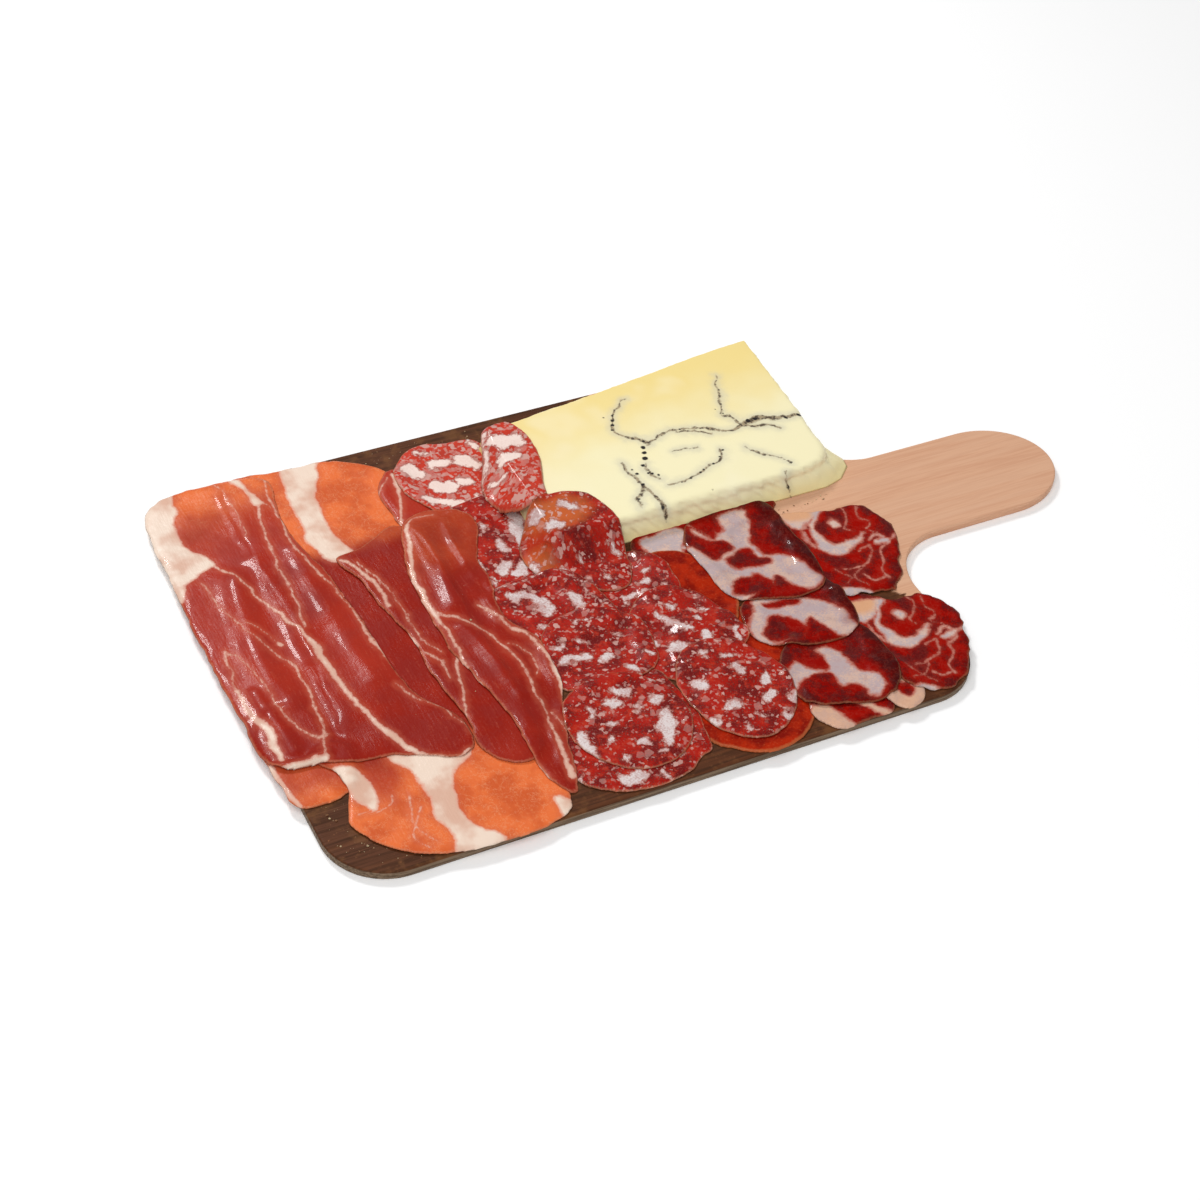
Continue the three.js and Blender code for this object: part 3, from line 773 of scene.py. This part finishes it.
coppa, spot, out, cloud, fine = meat_finish(
    "coppa", 9, 0.9, 0.7, Specular_IOR_Level=0.03, Coat_Roughness=0.07,
)
deep = coppa.attribute("deep")
near_fat = coppa.attribute("fat") + (coppa.clouds(spot, 2.6, 6, 0.78) - 0.5) * 3.4 + 0.15
white = 1 - coppa.step(near_fat, -0.55, 0.3)
core = 1 - coppa.step(near_fat, -1.9, -0.3)
web = (coppa.clouds(spot, 6.5, 6, 0.78) - 0.5).math("ABSOLUTE")
lean = coppa.layers(
    "9a0a02",
    ("5e0202", coppa.step(cloud + (fine - 0.5) * 0.6, 0.4, 0.62)),
    ("b42010", coppa.step(fine, 0.56, 0.72, 0, 0.5)),
    ("4a0d0b", coppa.step(out + (cloud - 0.5) * 7, -4.0, -0.5, 0, 0.5)),
    ("3c0808", deep),
    ("a82c1c", (1 - coppa.step(near_fat, 0, 2.0)) * 0.3),
    ("b05040", (1 - coppa.step(web, 0.004, 0.018)) * 0.2),
    ("a0684a", coppa.step(out + (fine - 0.5) * 1.6, -0.9, -0.2) * 0.45),
)
pale = coppa.layers(
    "bcabac",
    ("d8b8a8", coppa.step(cloud + (fine - 0.5) * 0.9, 0.4, 0.62)),
    ("b89490", coppa.step(coppa.clouds(spot, 3.0, 4, 0.7), 0.5, 0.68, 0, 0.45)),
    ("dca070", coppa.attribute("orange")),
    ("b8695a", 1 - core),
)
coppa.connect("Base Color", coppa.mix(lean, pale, white * (1 - 0.6 * deep)))
coppa.connect("Roughness", coppa.step(fine, 0.35, 0.65, 0.25, 0.42))
coppa.connect("Coat Weight", coppa.step(cloud + (fine - 0.5) * 0.4, 0.48, 0.6, 0.0, 0.35))
coppa.bump(fine * 0.4 + coppa.clouds(spot, 4, 3) * 1.2 + white * 0.6, 0.22)
lay_coppa = partial(lay, finish=coppa, thickness=COPPA_THICK)

loin, spot, out, cloud, fine = meat_finish(
    "lean_loin", 10, 1.0, 0.65, Specular_IOR_Level=0.06, Coat_Roughness=0.1, Coat_Weight=0.08,
)
loin.connect("Base Color", loin.layers(
    "ae2606",
    ("7e0e02", loin.step(cloud, 0.4, 0.62)),
    ("c85a30", loin.step(fine, 0.54, 0.7, 0, 0.4)),
    ("c07848", loin.step(out + (fine - 0.5), -1.6, -0.4) * 0.5),
))
loin.connect("Roughness", loin.step(fine, 0.35, 0.65, 0.22, 0.38))
loin.bump(fine * 0.4 + loin.clouds(spot, 5, 3), 0.2)
lay_loin = partial(lay, finish=loin, thickness=LEAN_THICK)

lay_coppa("coppa_under_cheese_edge", 21, curl=0, also=[
    36, 3, 50, -3, 66, -4, 84, 6, 104, 10, 104, 19, 80, 20, 44, 19,
], fat=shape_field([
    ((1, 0.8), [44, 14, 48, 8, 47, 0]), ((3, 2), [58, 4, 64, 1, 66, -4]),
], patches=[
    [42, 8, 44, 15, 60, 17, 64, 12, 60, 6, 56, -1, 50, 3, 44, 3],
]))
lay_loin("lean_slice_1", 22, also=[10, -84, 16, -98, 24, -104, 44, -106, 50, -92, 30, -80])
lay_loin("lean_slice_2", 23, also=[44, -46, 60, -36, 70, -44, 72, -66, 60, -80, 48, -70])
lay_loin("lean_slice_3", 24)


lay_coppa(
    "coppa_foot_left", 25, orange=even(0.5), also=[60, -94, 62, -109, 76, -110.5, 90, -109, 92, -94],
    fat=shape_field([(5, [79, -100, 88, -110])], patches=[[56, -113, 58, -97, 66, -96, 70, -103, 72, -113]]),
)
lay_coppa(
    "coppa_foot_right", 26, orange=even(0.5), also=[90, -94, 92, -109, 102, -110, 107, -103, 104, -94],
    fat=shape_field(patches=[
        [88, -92, 91, -113, 112, -113, 112, -92],
    ], holes=[
        [96, -96, 97, -102, 100, -104, 102, -99],
    ]),
)

# The two slices by the handle were cut one after the other, so they share a pattern: an eye of fat,
# a curled band that widens into a pale hollow, and thin lines along the lobes.
HANDLE_FAT = [
    [104, 8, 109, 9, 115, 8, 123, 5.5, 121, 1.5, 116, -1, 112, -4, 108, -5, 105, -1],
    [132, -23, 137, -21, 141, -22, 139, -25, 134, -26], [103, -43, 111, -43, 117, -47, 116, -52, 104, -50],
]
HANDLE_LINES = [
    ((4.4, 4, 4.2, 5.4, 7.6, 7.4, 5, 2.4), [
        122, 4, 116.5, -1, 113, -7, 113, -12, 114, -18, 118, -21, 125.5, -19.5, 132, -16]),
    ((5.6, 5.8), [124.2, -5.4, 124.6, -7]), ((2, 2.4, 1.6), [108.5, -6, 108.5, -14, 112, -20]),
    ((1.3, 1.3, 1.4, 1.2), [132, 2, 132, -3, 130, -7, 126.5, -11, 128, -14]),
    ((1.2, 1.3, 1.2), [138, 0, 136, -7, 138, -11, 134, -14, 137.5, -17]),
    ((2.4, 2.8, 2.2, 2.2), [132, -21, 137, -19, 139.5, -23, 146, -21]),
    ((1.4, 1.6, 1.4, 1.8, 1.4), [124.5, -25, 130, -23.5, 129, -28, 124.5, -32, 119, -33.5, 113, -32.5]),
    ((2.2, 1.8, 1.5, 1.8), [138.3, -25, 133.5, -28.5, 131, -34.5, 127, -39, 127, -44]),
    ((1.1, 1.2, 0.9), [124.5, -32, 118, -36, 110, -40]),
    ((1, 1.1, 1), [109.5, -31.5, 111.5, -35, 114.5, -40, 117, -44.5]),
    ((2, 2.2, 1.8), [119, -38.5, 121, -42.5, 125.6, -42.7]),
]
for node, seed, shift, also in (
    ("coppa_handle_low", 27, (-4, -58), [
        (99, -44), (112, -48), (119, -54), (122, -64), (112, -84), (100, -98),
    ]),
    ("coppa_handle_high", 28, (0, 0), [
        (99, 4), (108, 5), (117, 0), (118, -20), (104, -44), (98, -22),
    ]),
):
    strokes = [(widths, pairs(points) + shift) for widths, points in HANDLE_LINES]
    patches = [pairs(points) + shift for points in HANDLE_FAT]
    hollow = np.add((112, 6), shift)
    lay_coppa(
        node, seed, curl=0.5, wave=1.3, also=also, fat=shape_field(strokes, patches),
        orange=lambda x, y: 0.8 * glow(x, y, hollow, (5, 4), 2),
    )

# The three shingled slices are neighbours too: islands of lean in the same broad marbling. They dried
# to a dark band along the side towards the handle.


def dark_edge(x, y):
    """How dark the lean is near the handle side, with a ragged border."""
    return 0.15 + 0.65 * ease((x - 95 + 3 * noise(x, y, 6, 33)) / 6)


lay_coppa("coppa_row_3", 29, curl=0.4, deep=dark_edge, also=[
    56, -80, 68, -64, 98, -62, 104, -80, 98, -97, 76, -100, 60, -94,
], fat=shape_field(patches=[
    [55, -88, 57, -79, 64, -72, 70, -70, 76, -68, 82, -66, 86, -72, 88, -84, 93, -90, 94, -97, 89, -100,
     84, -99, 82, -94, 76, -92, 66, -90],
], holes=[
    [65, -69, 70, -66, 76, -66, 78, -72, 77, -79, 73, -78, 69, -73],
    [61, -85, 66, -82, 72, -81, 76, -83, 77, -90, 82, -91, 83, -99, 75, -100, 64, -95, 59, -90],
]))
lay_coppa("coppa_row_2", 30, curl=0.4, deep=dark_edge, also=[
    57, -50, 66, -34, 98, -32, 104, -44, 102, -62, 90, -68, 64, -62,
], fat=shape_field(patches=[
    [70, -33, 80, -36, 90, -40, 96, -45, 99, -51, 101, -58, 99, -66, 94, -68, 88, -65, 84, -58, 78, -60,
     70, -62, 62, -60, 58, -56, 59, -47, 64, -41],
], holes=[
    [66, -50, 70, -46, 75, -47, 79, -51, 80, -58, 76, -62, 70, -61, 66, -59, 64, -55],
    [79, -68, 80, -58, 83, -53, 86, -52, 87, -60, 90, -67, 85, -71],
    [72, -38, 82, -39, 87, -41, 83, -42.5, 75, -41],
]))
lay_coppa("coppa_row_1", 31, curl=0.4, deep=dark_edge, also=[
    61, 10, 70, 16, 100, 17, 104, 2, 92, -10, 60, -4,
], fat=shape_field([
    ((1, 0.8), [66, 16, 69, 10, 72, 4, 78, 2]),
], patches=[
    [57, 4, 63, 2, 66, 14, 72, 4, 80, 16, 93, 15, 90, 5, 86, -3, 89, -11, 96, -15, 100, -24, 102, -34,
     98, -38, 90, -37, 84, -30, 76, -31, 66, -34, 60, -29, 58, -14],
], holes=[
    [61, 4, 65, 8, 68, 3, 74, 1, 77, -3, 72, -5, 69, -8, 65, -7, 63, -2],
    [71, -11, 75, -8, 80, -5, 83, -6, 84, -12, 88, -14, 87, -17, 80, -16, 74, -15],
    [65, -28, 67, -24, 71, -21, 75, -22, 79, -21, 81, -27, 80, -34, 74, -33, 69, -30],
    [80, -34, 84, -26, 86, -26, 88, -33, 92, -37, 88, -42, 81, -40], [70, 17, 74, 9, 78, 8, 78, 17],
]))

# ---- salami ----------------------------------------------------------------------------------------
# Air-dried pork sausage in round slices: coarse white fat grains in dark red lean, and a thin pale
# rim where the casing was peeled. They shingle from the cheese down to the near edge.

SALAMI_THICK = 1.0


def salami_finish(name, shift, pink=0.0):
    """Salami with big fat grains from its field and small ones strewn between; the shift adds more."""
    meat, spot, out, cloud, fine = meat_finish(
        name, 10, 0.8, 0.7, Specular_IOR_Level=0.08, Coat_Roughness=0.07,
    )
    push = meat.node("ShaderNodeTexNoise", {}, {"Vector": spot, "Scale": 0.5, "Detail": 4}, 1)
    sockets = {0: push, 1: (2.4, 2.4, 2.4), 2: spot}
    spread = meat.node("ShaderNodeVectorMath", {"operation": "MULTIPLY_ADD"}, sockets)
    lots = []
    for size, share, strength in ((3.2, 0.88, 0.35), (2.0, 0.88, 0.85), (1.1, 0.84, 0.55)):
        cells = {"Vector": spread, "Scale": 1 / size, "Smoothness": 0.35}
        lot = meat.node("ShaderNodeTexVoronoi", {"feature": "SMOOTH_F1"}, cells, 1)
        red = meat.node("ShaderNodeSeparateColor", {}, {0: lot})
        lots.append(meat.step(red, share - shift, share - shift + 0.09, 0, strength))
    small = lots[0].higher(lots[1]).higher(lots[2])
    near_fat = meat.attribute("fat") + (meat.clouds(spot, 3.4, 5, 0.78) - 0.5) * 8.0
    big = 1 - meat.step(near_fat, -0.5, 0.5)
    lean = meat.layers(
        "ac1d12",
        ("6c0807", meat.step(cloud + (fine - 0.5) * 0.9, 0.38, 0.62)),
        ("bc3420", meat.step(meat.clouds(spot, 4, 4, 0.65), 0.5, 0.64, 0, 0.7)),
        ("c06a58", meat.step(fine, 0.53, 0.68, 0, 0.5)),
        ("dc4630", pink),
        ("cc6a34", meat.attribute("warm")),
    )
    pale = meat.layers(
        "e0d4d2",
        ("c4a29e", meat.step(fine * 0.6 + cloud * 0.4, 0.42, 0.6)),
        ("fae2d6", pink * 1.4),
        ("bf7f74", meat.step(near_fat, -1.3, -0.1)),
    )
    rim = meat.step(out + (fine - 0.5) * 1.4, -0.8, -0.1)
    body = meat.layers(lean, ("d0a49a", small), (pale, big), ("c98d6c", rim * 0.5))
    meat.connect("Base Color", body)
    meat.connect("Roughness", meat.step(fine, 0.35, 0.65, 0.28, 0.46))
    meat.connect("Coat Weight", meat.step(cloud + (fine - 0.5) * 0.6, 0.46, 0.6, 0.0, 0.35))
    meat.bump(fine * 0.5 + big * 0.8 + small * 0.3 + meat.clouds(spot, 4, 3) * 0.8, 0.22)
    return meat


def lumps(*grains):
    """A field of fat grains, each a thick stroke. One with only two ends is kept short and plump."""
    strokes = []
    for widths, points in grains:
        ends = pairs(points)
        if len(ends) == 2:
            ends = ends.mean(0) + (ends - ends.mean(0)) * 0.5
            widths = np.multiply(widths, 1.3)
        strokes.append((widths, ends))
    return shape_field(strokes)


salami = salami_finish("salami", 0.0)
pale_salami = salami_finish("pale_salami", 0.16, 0.55)
lay_salami = partial(lay, finish=salami, thickness=SALAMI_THICK, warp=1.9)

lay_salami("salami_top_left", 41, finish=pale_salami, also=[
    -28, 94, -14, 101, 2, 101, 9, 96, 10, 80, 6, 62, 0, 50, -14, 50, -28, 62,
], fat=lumps(
    ((6, 7), [-28, 94, -24, 86]), ((5, 4), [-16, 90, -8, 90]), ((7, 6), [-4, 90, 1, 83]),
    ((6, 7), [-21, 78, -14, 75]), (5, [-10, 76, -7, 75]), ((5, 6, 6), [-27, 71, -19, 64, -9, 58]),
    ((4, 3), [-8, 66, -3, 60]), ((3, 4), [4, 100, 6, 94]), (2, [-22, 99, -14, 98]),
))
lay_salami("salami_left_1", 42, also=[
    -27, 56, -10, 62, 6, 60, 12, 46, 12, 22, 2, 6, -18, 4, -28, 12, -31, 32,
], fat=lumps(
    ((4, 6, 6.5, 3), [0, 55, 2, 47, 0, 38, -4, 26]), ((3, 3.5), [-10, 36, -9, 31]), (4, [-18, 17, -11, 23]),
    ((1.4, 1.8, 1.4), [-22, 31, -23, 20, -21, 12]), ((5, 4), [-11, 13, -7, 22]), (2, [-14, 50, -12, 44]),
    ((1.6, 2), [6, 44, 6, 34]),
))
lay_salami("salami_right_1", 43, also=[-2, 4, 18, 8, 38, 4, 45, -12, 40, -26, 20, -30, 4, -20], fat=lumps(
    ((1.6, 2.4), [34, -4, 38, -2]), ((2.6, 2.2), [30, -10, 36, -8]),
    ((1.8, 2.6, 2), [20, -18, 26, -13, 33, -17]), ((2, 1.6), [22, -25, 28, -20]), (1.6, [39, -12, 41, -18]),
    ((2, 1.4), [18, -3, 22, -6]),
))

# From here on the slices also climb the end and the near corner of the cheese.
SKIN = CHEESE_TOP + 0.15
CHEESE_FALL = 4
rim_line = rim[::4]
rim_ends = np.roll(rim_line, -1, 0)
from_rim = to_segments(plan_x, plan_y, rim_line, rim_ends)
on_cheese = inside_segments(plan_x, plan_y, rim_line, rim_ends)
cheese_skin = np.where(on_cheese, SKIN, SKIN - CHEESE_FALL * from_rim)
pile = np.maximum(pile, cheese_skin)

lay_salami("salami_folded", 44, finish=pale_salami, thickness=1.7 * SALAMI_THICK, steepest=0.9, also=[
    7, 92, 2, 80, -4, 66, -6, 54, 2, 42, 12, 40, 17, 52, 23, 76, 18, 92,
], fat=lumps(
    ((3, 3, 2, 1.5), [12, 99, 8, 90, 3, 77, 0, 68]), ((7, 8), [14, 92, 22, 88]), ((6, 4), [10, 82, 20, 78]),
    ((3, 2), [5, 74, 12, 72]),
))
lay_salami(
    "salami_on_cheese", 45, steepest=1,
    warm=lambda x, y: 0.75 * glow(x, y, (16, 38), (13, 8), 1.6) + 0.6 * glow(x, y, (-1, 20), (9, 9), 1.4),
    also=[-4, 6, -7, 23, 0, 35, 7, 41, 16, 43, 24, 42, 31, 36, 35, 18, 32, 2, 26, -8, 10, -6],
    fat=lumps(
        ((4.5, 5.5), [6, 38, 12, 41]), ((3.4, 4.4), [8, 31, 14, 32]), (4, [20, 42, 25, 38]),
        ((2.6, 3), [-3, 22, 0, 18]), ((2.6, 3), [7, 14, 10, 10]), ((1.8, 2.6), [32, 22, 35, 14]),
        (1.6, [18, 18, 19, 14]), ((1.6, 2), [24, 8, 25, 3]),
    ),
)
lay_salami(
    "salami_right_2", 46, also=[14, -34, 12, -52, 20, -64, 44, -62, 58, -50, 48, -28, 28, -24],
    fat=lumps(
        ((3.4, 4.4, 2.4), [29, -28, 33, -33, 37, -40]), ((4.4, 4.6, 3.4), [27, -44, 31, -49, 34, -53]),
        ((3, 3.4), [41, -43, 42, -48]), (2.6, [35, -25, 38, -27]), ((3.2, 3), [55, -45, 52, -53]),
        (2.2, [42, -35, 44, -38]), ((2.4, 2), [45, -30, 49, -33]), (1.6, [21, -36, 22, -42]),
    ),
)
lay_salami(
    "salami_foot", 47, also=[-38, -84, -34, -64, -14, -50, 10, -52, 18, -70, 16, -92, 8, -102],
    fat=lumps(
        ((5, 5.5), [-24, -101, -16, -102]), (3.4, [-36, -104, -31, -105]), (2.6, [-9, -104, -7, -106]),
        (2.4, [-5, -110, -3, -109]), (2, [-29, -110, -26, -110]), (2, [2, -98, 5, -97]),
        ((2, 1.6), [-38, -96, -35, -94]),
    ),
)
lay_salami("salami_right_3", 48, fat=lumps(
    ((4.4, 4.8), [25, -66, 27, -69]), (2.4, [40, -58, 45, -59]), ((3, 3.4), [43, -64, 44, -69]),
    ((3.4, 3.8), [30, -84, 36, -81]), (3.4, [50, -77, 54, -75]), ((3.6, 3.8), [47, -83, 52, -84]),
    ((3.4, 3), [20, -87, 24, -90]), ((2.4, 2), [33, -94, 34, -96]), (3.6, [49, -95, 54, -95]),
    (3.4, [57, -89, 60, -84]), (2, [34, -56, 36, -54]), (2, [40, -90, 42, -93]),
))
lay_salami("salami_left_2", 49, steepest=0.8, also=[
    -30, 6, -12, 10, 4, 8, 12, -4, 15, -24, 2, -30, -20, -26, -30, -12,
], fat=lumps(
    ((4, 6, 4.5), [-18, 3, -12, 1, -8, -8]), ((2.6, 3.6), [-15, -5, -6, -10]),
    ((3.4, 4.2, 3), [2, -4, 5, -8, 3, -13]), (2.6, [-17, -14, -12, -18]),
    ((0.9, 1.2, 1, 1.8, 1.2), [5, 9, 8, 0, 11, -10, 12, -21, 17, -29]), (1, [-27, 9, -16, 9.5, -3, 10]),
    (1.6, [-24, -6, -20, -3]),
))
lay_salami(
    "salami_left_3", 50, also=[-22, -28, -25, -48, -14, -58, 12, -56, 20, -44, 18, -28, 0, -14],
    fat=lumps(
        ((2.4, 3), [-18, -30, -11, -27]), ((3.4, 4.4, 3.4), [-18, -38, -11, -36, -6, -38]),
        ((3.6, 4), [-1, -41, 2, -41]), ((2.2, 2.6), [15, -42, 18, -48]), (1.6, [-4, -18, -1, -20]),
        ((2.6, 2.8), [4, -49, 10, -53]), (2, [-6, -28, -3, -30]), ((1.4, 1.8), [8, -28, 10, -32]),
        (0.9, [-12, -13, -2, -18, 8, -21]),
    ),
)

# ---- dry-cured ham, the slices on top ----------------------------------------------------------------
# The left slice is folded under at its near end and has a soft ridge along it. The middle and right
# slices lie over it, each with a thick white edge, and the right one covers the edge of the salami.
# The last salami slice is laid after them.


def ridges(*folds):
    """The height of raised folds, each with a rise and a half-width along a smooth line."""
    def make(x, y):
        height = 0
        for rise, width, points in folds:
            line = smooth_line(points)
            height = height + rise * np.exp(-(to_segments(x, y, line[:-1], line[1:]) / width) ** 2)
        return height
    return make


lay_ham(
    "ham_left", 61,
    orange=lambda x, y: ease((y - 62) / 46 + 0.25 * noise(x, y, 18, 3)) * (0.35 + 0.65 * ease((y - 84) / 24)),
    deep=lambda x, y: 0.3 + 0.5 * ease((8 - y) / 60) + 0.4 * hump(x, y, (-98, 38), (12, 22)),
    relief=ridges(
        (1.8, 5.5, [-117, 52, -120, 38, -123, 15, -124, -5, -121, -18]),
        (1, 3, [-132, -10, -130, -30, -129, -44]), (1.4, 2.2, [-138, -49, -129, -50.5, -119, -50]),
        (0.8, 4, [-108, 60, -106, 30, -106, 0]), (0.7, 4, [-90, 60, -90, 20, -88, -20]),
    ),
    fat=shape_field([
        ((1.8, 1.4, 1.2, 1.6, 1.8, 3, 2.4, 2, 3.4, 3.2), [
            -121, 66, -117, 58, -112, 45, -108, 32, -104, 20, -101, 8, -100, -8, -99, -24, -96, -38,
            -92, -48, -88, -58]),
        ((1.6, 1, 1, 1.2), [-92, 94, -95, 82, -97, 60, -98, 42, -99, 30, -101, 18]),
        ((0.9, 1.1, 1.3, 1, 1, 1.8), [
            -84, 109, -86, 95, -88, 70, -85, 48, -82, 35, -80.5, 20, -80, 8, -78, -8]),
        (0.9, [-133, 18, -135, 5, -137, -15]),
        ((0.9, 0.9, 1.1), [-133, 18, -129, 8, -126, -8, -125, -20, -122, -34, -118, -39, -114, -38]),
        ((0.8, 0.7, 1.2, 0.9), [
            -129, 58, -126, 42, -122, 25, -117, 10, -112.5, 0, -112, -14, -114, -33, -119, -49]),
        ((2, 2.4, 4, 3), [-136, -4, -136, -18, -133, -30, -134, -44]),
        ((4.5, 3.6), [-138, -50, -129, -50.5, -119, -50.5]),
        ((3, 2.2, 1.2), [-89, -57, -83, -64, -74, -67.5, -68, -65]),
        ((0.8, 0.9), [-80, -24, -77, -33, -70, -41, -66, -50, -65, -57]),
        ((0.7, 0.6), [-104, 112, -102, 95, -104, 75]), ((0.7, 0.6), [-124, 30, -118, 26, -113, 15]),
        (2, [-113, 14, -112.5, 13]), ((1.6, 2.4, 1.6), [-75.5, 20, -73.5, 16, -71.5, 14]),
        ((3, 3.6, 2.4), [-73.5, 5, -70.5, 0, -68, -6]),
        ((0.9, 1.3, 0.9), [-78.7, 5.5, -77.5, 0, -76.5, -4.5]),
        ((1.1, 1.2, 1), [-74.6, -5.2, -71.5, -10, -70.5, -16]),
    ], [
        [-122, 113, -124, 100, -128, 88, -126, 77, -119, 67, -127, 63, -135, 57, -139, 49, -145, 60,
         -145, 90, -140, 106, -130, 115],
        [-99, 112, -94, 102, -94, 92, -90, 92, -88, 89, -91, 100, -94, 112],
    ]),
)
lay_ham(
    "ham_middle", 62, curl=0.5, orange=lambda x, y: 0.4 * ease((y - 48) / 10),
    deep=lambda x, y: 0.8 - 0.3 * ease((-60 - y) / 20),
    fat=shape_field([
        ((1.6, 1.8, 2, 1.8, 1.4), [-72.5, 49, -69.3, 42, -66.6, 33, -65.6, 25, -66, 17]),
        ((0.9, 0.8), [-68, 46, -65, 36, -62.5, 25, -62, 5]),
        ((3, 3.4, 2.4), [-69.5, 4, -66.5, -1, -64.5, -7]),
        ((1.3, 1.3, 1), [-51, -12, -53, -18, -57, -33, -63, -50]),
        ((1, 0.9), [-67, -10, -62, -14, -59, -22, -60, -29]), ((3, 2.4), [-70, 18, -69, 13]),
        ((0.8, 0.7), [-61, 10, -62, -4, -58, -14]),
    ]),
)
lay_ham(
    "ham_right", 63, curl=0.5, orange=lambda x, y: 0.2 * ease((y - 20) / 20),
    deep=lambda x, y: 0.7 + 0.2 * noise(x, y, 20, 9),
    relief=ridges((1.2, 4, [-38, 50, -40, 30, -44, 5]), (1, 3, [-46, -8, -42, -28, -40, -50])),
    fat=shape_field([
        ((2, 2.4, 2.6, 2.6, 1.8), [-41, 58, -43.5, 49, -49.5, 34, -51.5, 20, -51.5, 8, -51, 0]),
        ((2.6, 1.6, 1.4, 1.6), [-51.5, 12, -51, 0, -51, -10, -52, -26]),
        ((1.6, 1), [-54, -26, -51, -38, -49.5, -55, -49, -75]),
        ((1.4, 2, 1.2), [-49, -80, -48, -90, -46, -102]),
        ((1, 1.3, 1.4, 1.2, 1.1, 1.3, 1, 1.2, 1, 1.6, 3.2), [
            -53, 16, -51, 8, -48, 3, -43, -1, -38, -8, -34, -18, -32, -28, -32, -38, -34, -57, -37, -80,
            -38, -91]),
        ((1.2, 1, 1.8, 1.2, 1.4), [-33, 5, -29, -3, -27, -11, -23, -15, -21, -20, -20.5, -30]),
        ((1.2, 2.4, 3.2, 2.2), [-21, -22, -20.5, -33, -21.5, -44, -24, -56]),
        ((0.8, 0.7), [-31, -19, -27, -21, -25, -28, -28, -38]), ((0.8, 0.7), [-32, -58, -31, -68, -33, -80]),
        (0.9, [-42, 58, -36, 61, -28, 60]),
    ]),
)
lay_salami("salami_left_4", 51, fat=lumps(
    ((5, 6.5, 5), [-27, -76, -28.5, -82, -28, -88]), ((3.8, 4), [-7, -58, -2, -61]),
    ((3.2, 3.6), [4, -67, 8, -70]), ((4.4, 6.2, 4.6), [9, -76, 5, -83, 2, -90]), (3.8, [-8, -86, -6, -87]),
    ((2.8, 2.6), [-17, -62, -18, -68]), ((2.6, 3.4), [-12, -62, -6, -66]),
    ((1.2, 1.8, 1.2), [0, -66, -1, -71, 0, -76]), (2.2, [-15, -72, -12, -75]), (2.2, [11, -56, 13, -58]),
    (1.8, [-20, -90, -16, -93]), (1.8, [-4, -94, -1, -94]), (1.6, [-18, -79, -17, -82]),
))

# ---- crumbs --------------------------------------------------------------------------------------
# Small crumbs of cheese and flecks of dried fat, shed when the slices were laid: some on the bare
# wood round the food, a row along the foot of the cheese, and a few that stuck to the meat.

CRUMB_SHAPE = np.array([(1, 0, 0), (0, 1, 0), (-1, 0, 0), (0, -1, 0), (0, 0, 1), (0, 0, -0.6)], float)
CRUMB_SIDES = np.array([
    (0, 1, 4), (1, 2, 4), (2, 3, 4), (3, 0, 4), (1, 0, 5), (2, 1, 5), (3, 2, 5), (0, 3, 5),
])


def height_at(spots):
    """How high the pile stands at some spots."""
    column, row = ((spots - (plan_x[0, 0], plan_y[0, 0])) / STEP).round().astype(int).T
    return pile[row.clip(0, plan_x.shape[0] - 1), column.clip(0, plan_x.shape[1] - 1)]


def scatter(name, finish, spots, sizes, seed):
    """One mesh of many small lumps, each eight uneven faces, resting on whatever is under it."""
    chance = np.random.default_rng(seed)
    height = height_at(spots) + 0.35 * sizes
    shapes = CRUMB_SHAPE * chance.uniform(0.6, 1.2, (len(spots), 6, 1)) * sizes[:, None, None]
    points = shapes + np.column_stack([spots, height])[:, None]
    faces = CRUMB_SIDES + 6 * np.arange(len(spots))[:, None, None]
    mesh = bpy.data.meshes.new(name)
    mesh.from_pydata((points.reshape(-1, 3) / 1000).tolist(), [], faces.reshape(-1, 3).tolist())
    mesh.materials.append(finish.material)
    piece = bpy.data.objects.new(name, mesh)
    scene.collection.objects.link(piece)
    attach(piece, "root")


chance = np.random.default_rng(77)
on_corner = chance.uniform((-134, -108), (-96, -70), (150, 2))
at_edge = np.column_stack([chance.uniform(-60, 8, 60), chance.uniform(98, 108.5, 60)])
foot_line = smooth_line([(40, 9), (60, 9.5), (80, 9.5), (100, 9), (120, 9), (133, 12), (143, 20)], steps=16)
by_cheese = foot_line + chance.normal(0, 1.0, foot_line.shape)
crumb_spots = np.concatenate([on_corner, at_edge, by_cheese])
on_board = np.hypot(*(np.abs(crumb_spots) - (108, 83)).clip(0).T) < 24
crumb_spots = crumb_spots[on_board & (height_at(crumb_spots) < BOARD_TOP + 0.3)]
on_meat = chance.uniform((-120, -90), (50, 40), (16, 2))
crumb_spots = np.concatenate([crumb_spots, on_meat])
crumb_sizes = 0.14 + 0.5 * chance.uniform(0, 1, len(crumb_spots)) ** 3
crumb_finish = Finish("crumbs", Roughness=0.6)
crumb_tone = crumb_finish.clouds(crumb_finish.place(), 1.5, 2)
crumb_tone = crumb_finish.step(crumb_tone, 0.4, 0.6)
crumb_finish.connect("Base Color", crumb_finish.mix("dcc39a", "8a5a38", crumb_tone))
scatter("loose_crumbs", crumb_finish, crumb_spots, crumb_sizes, 78)
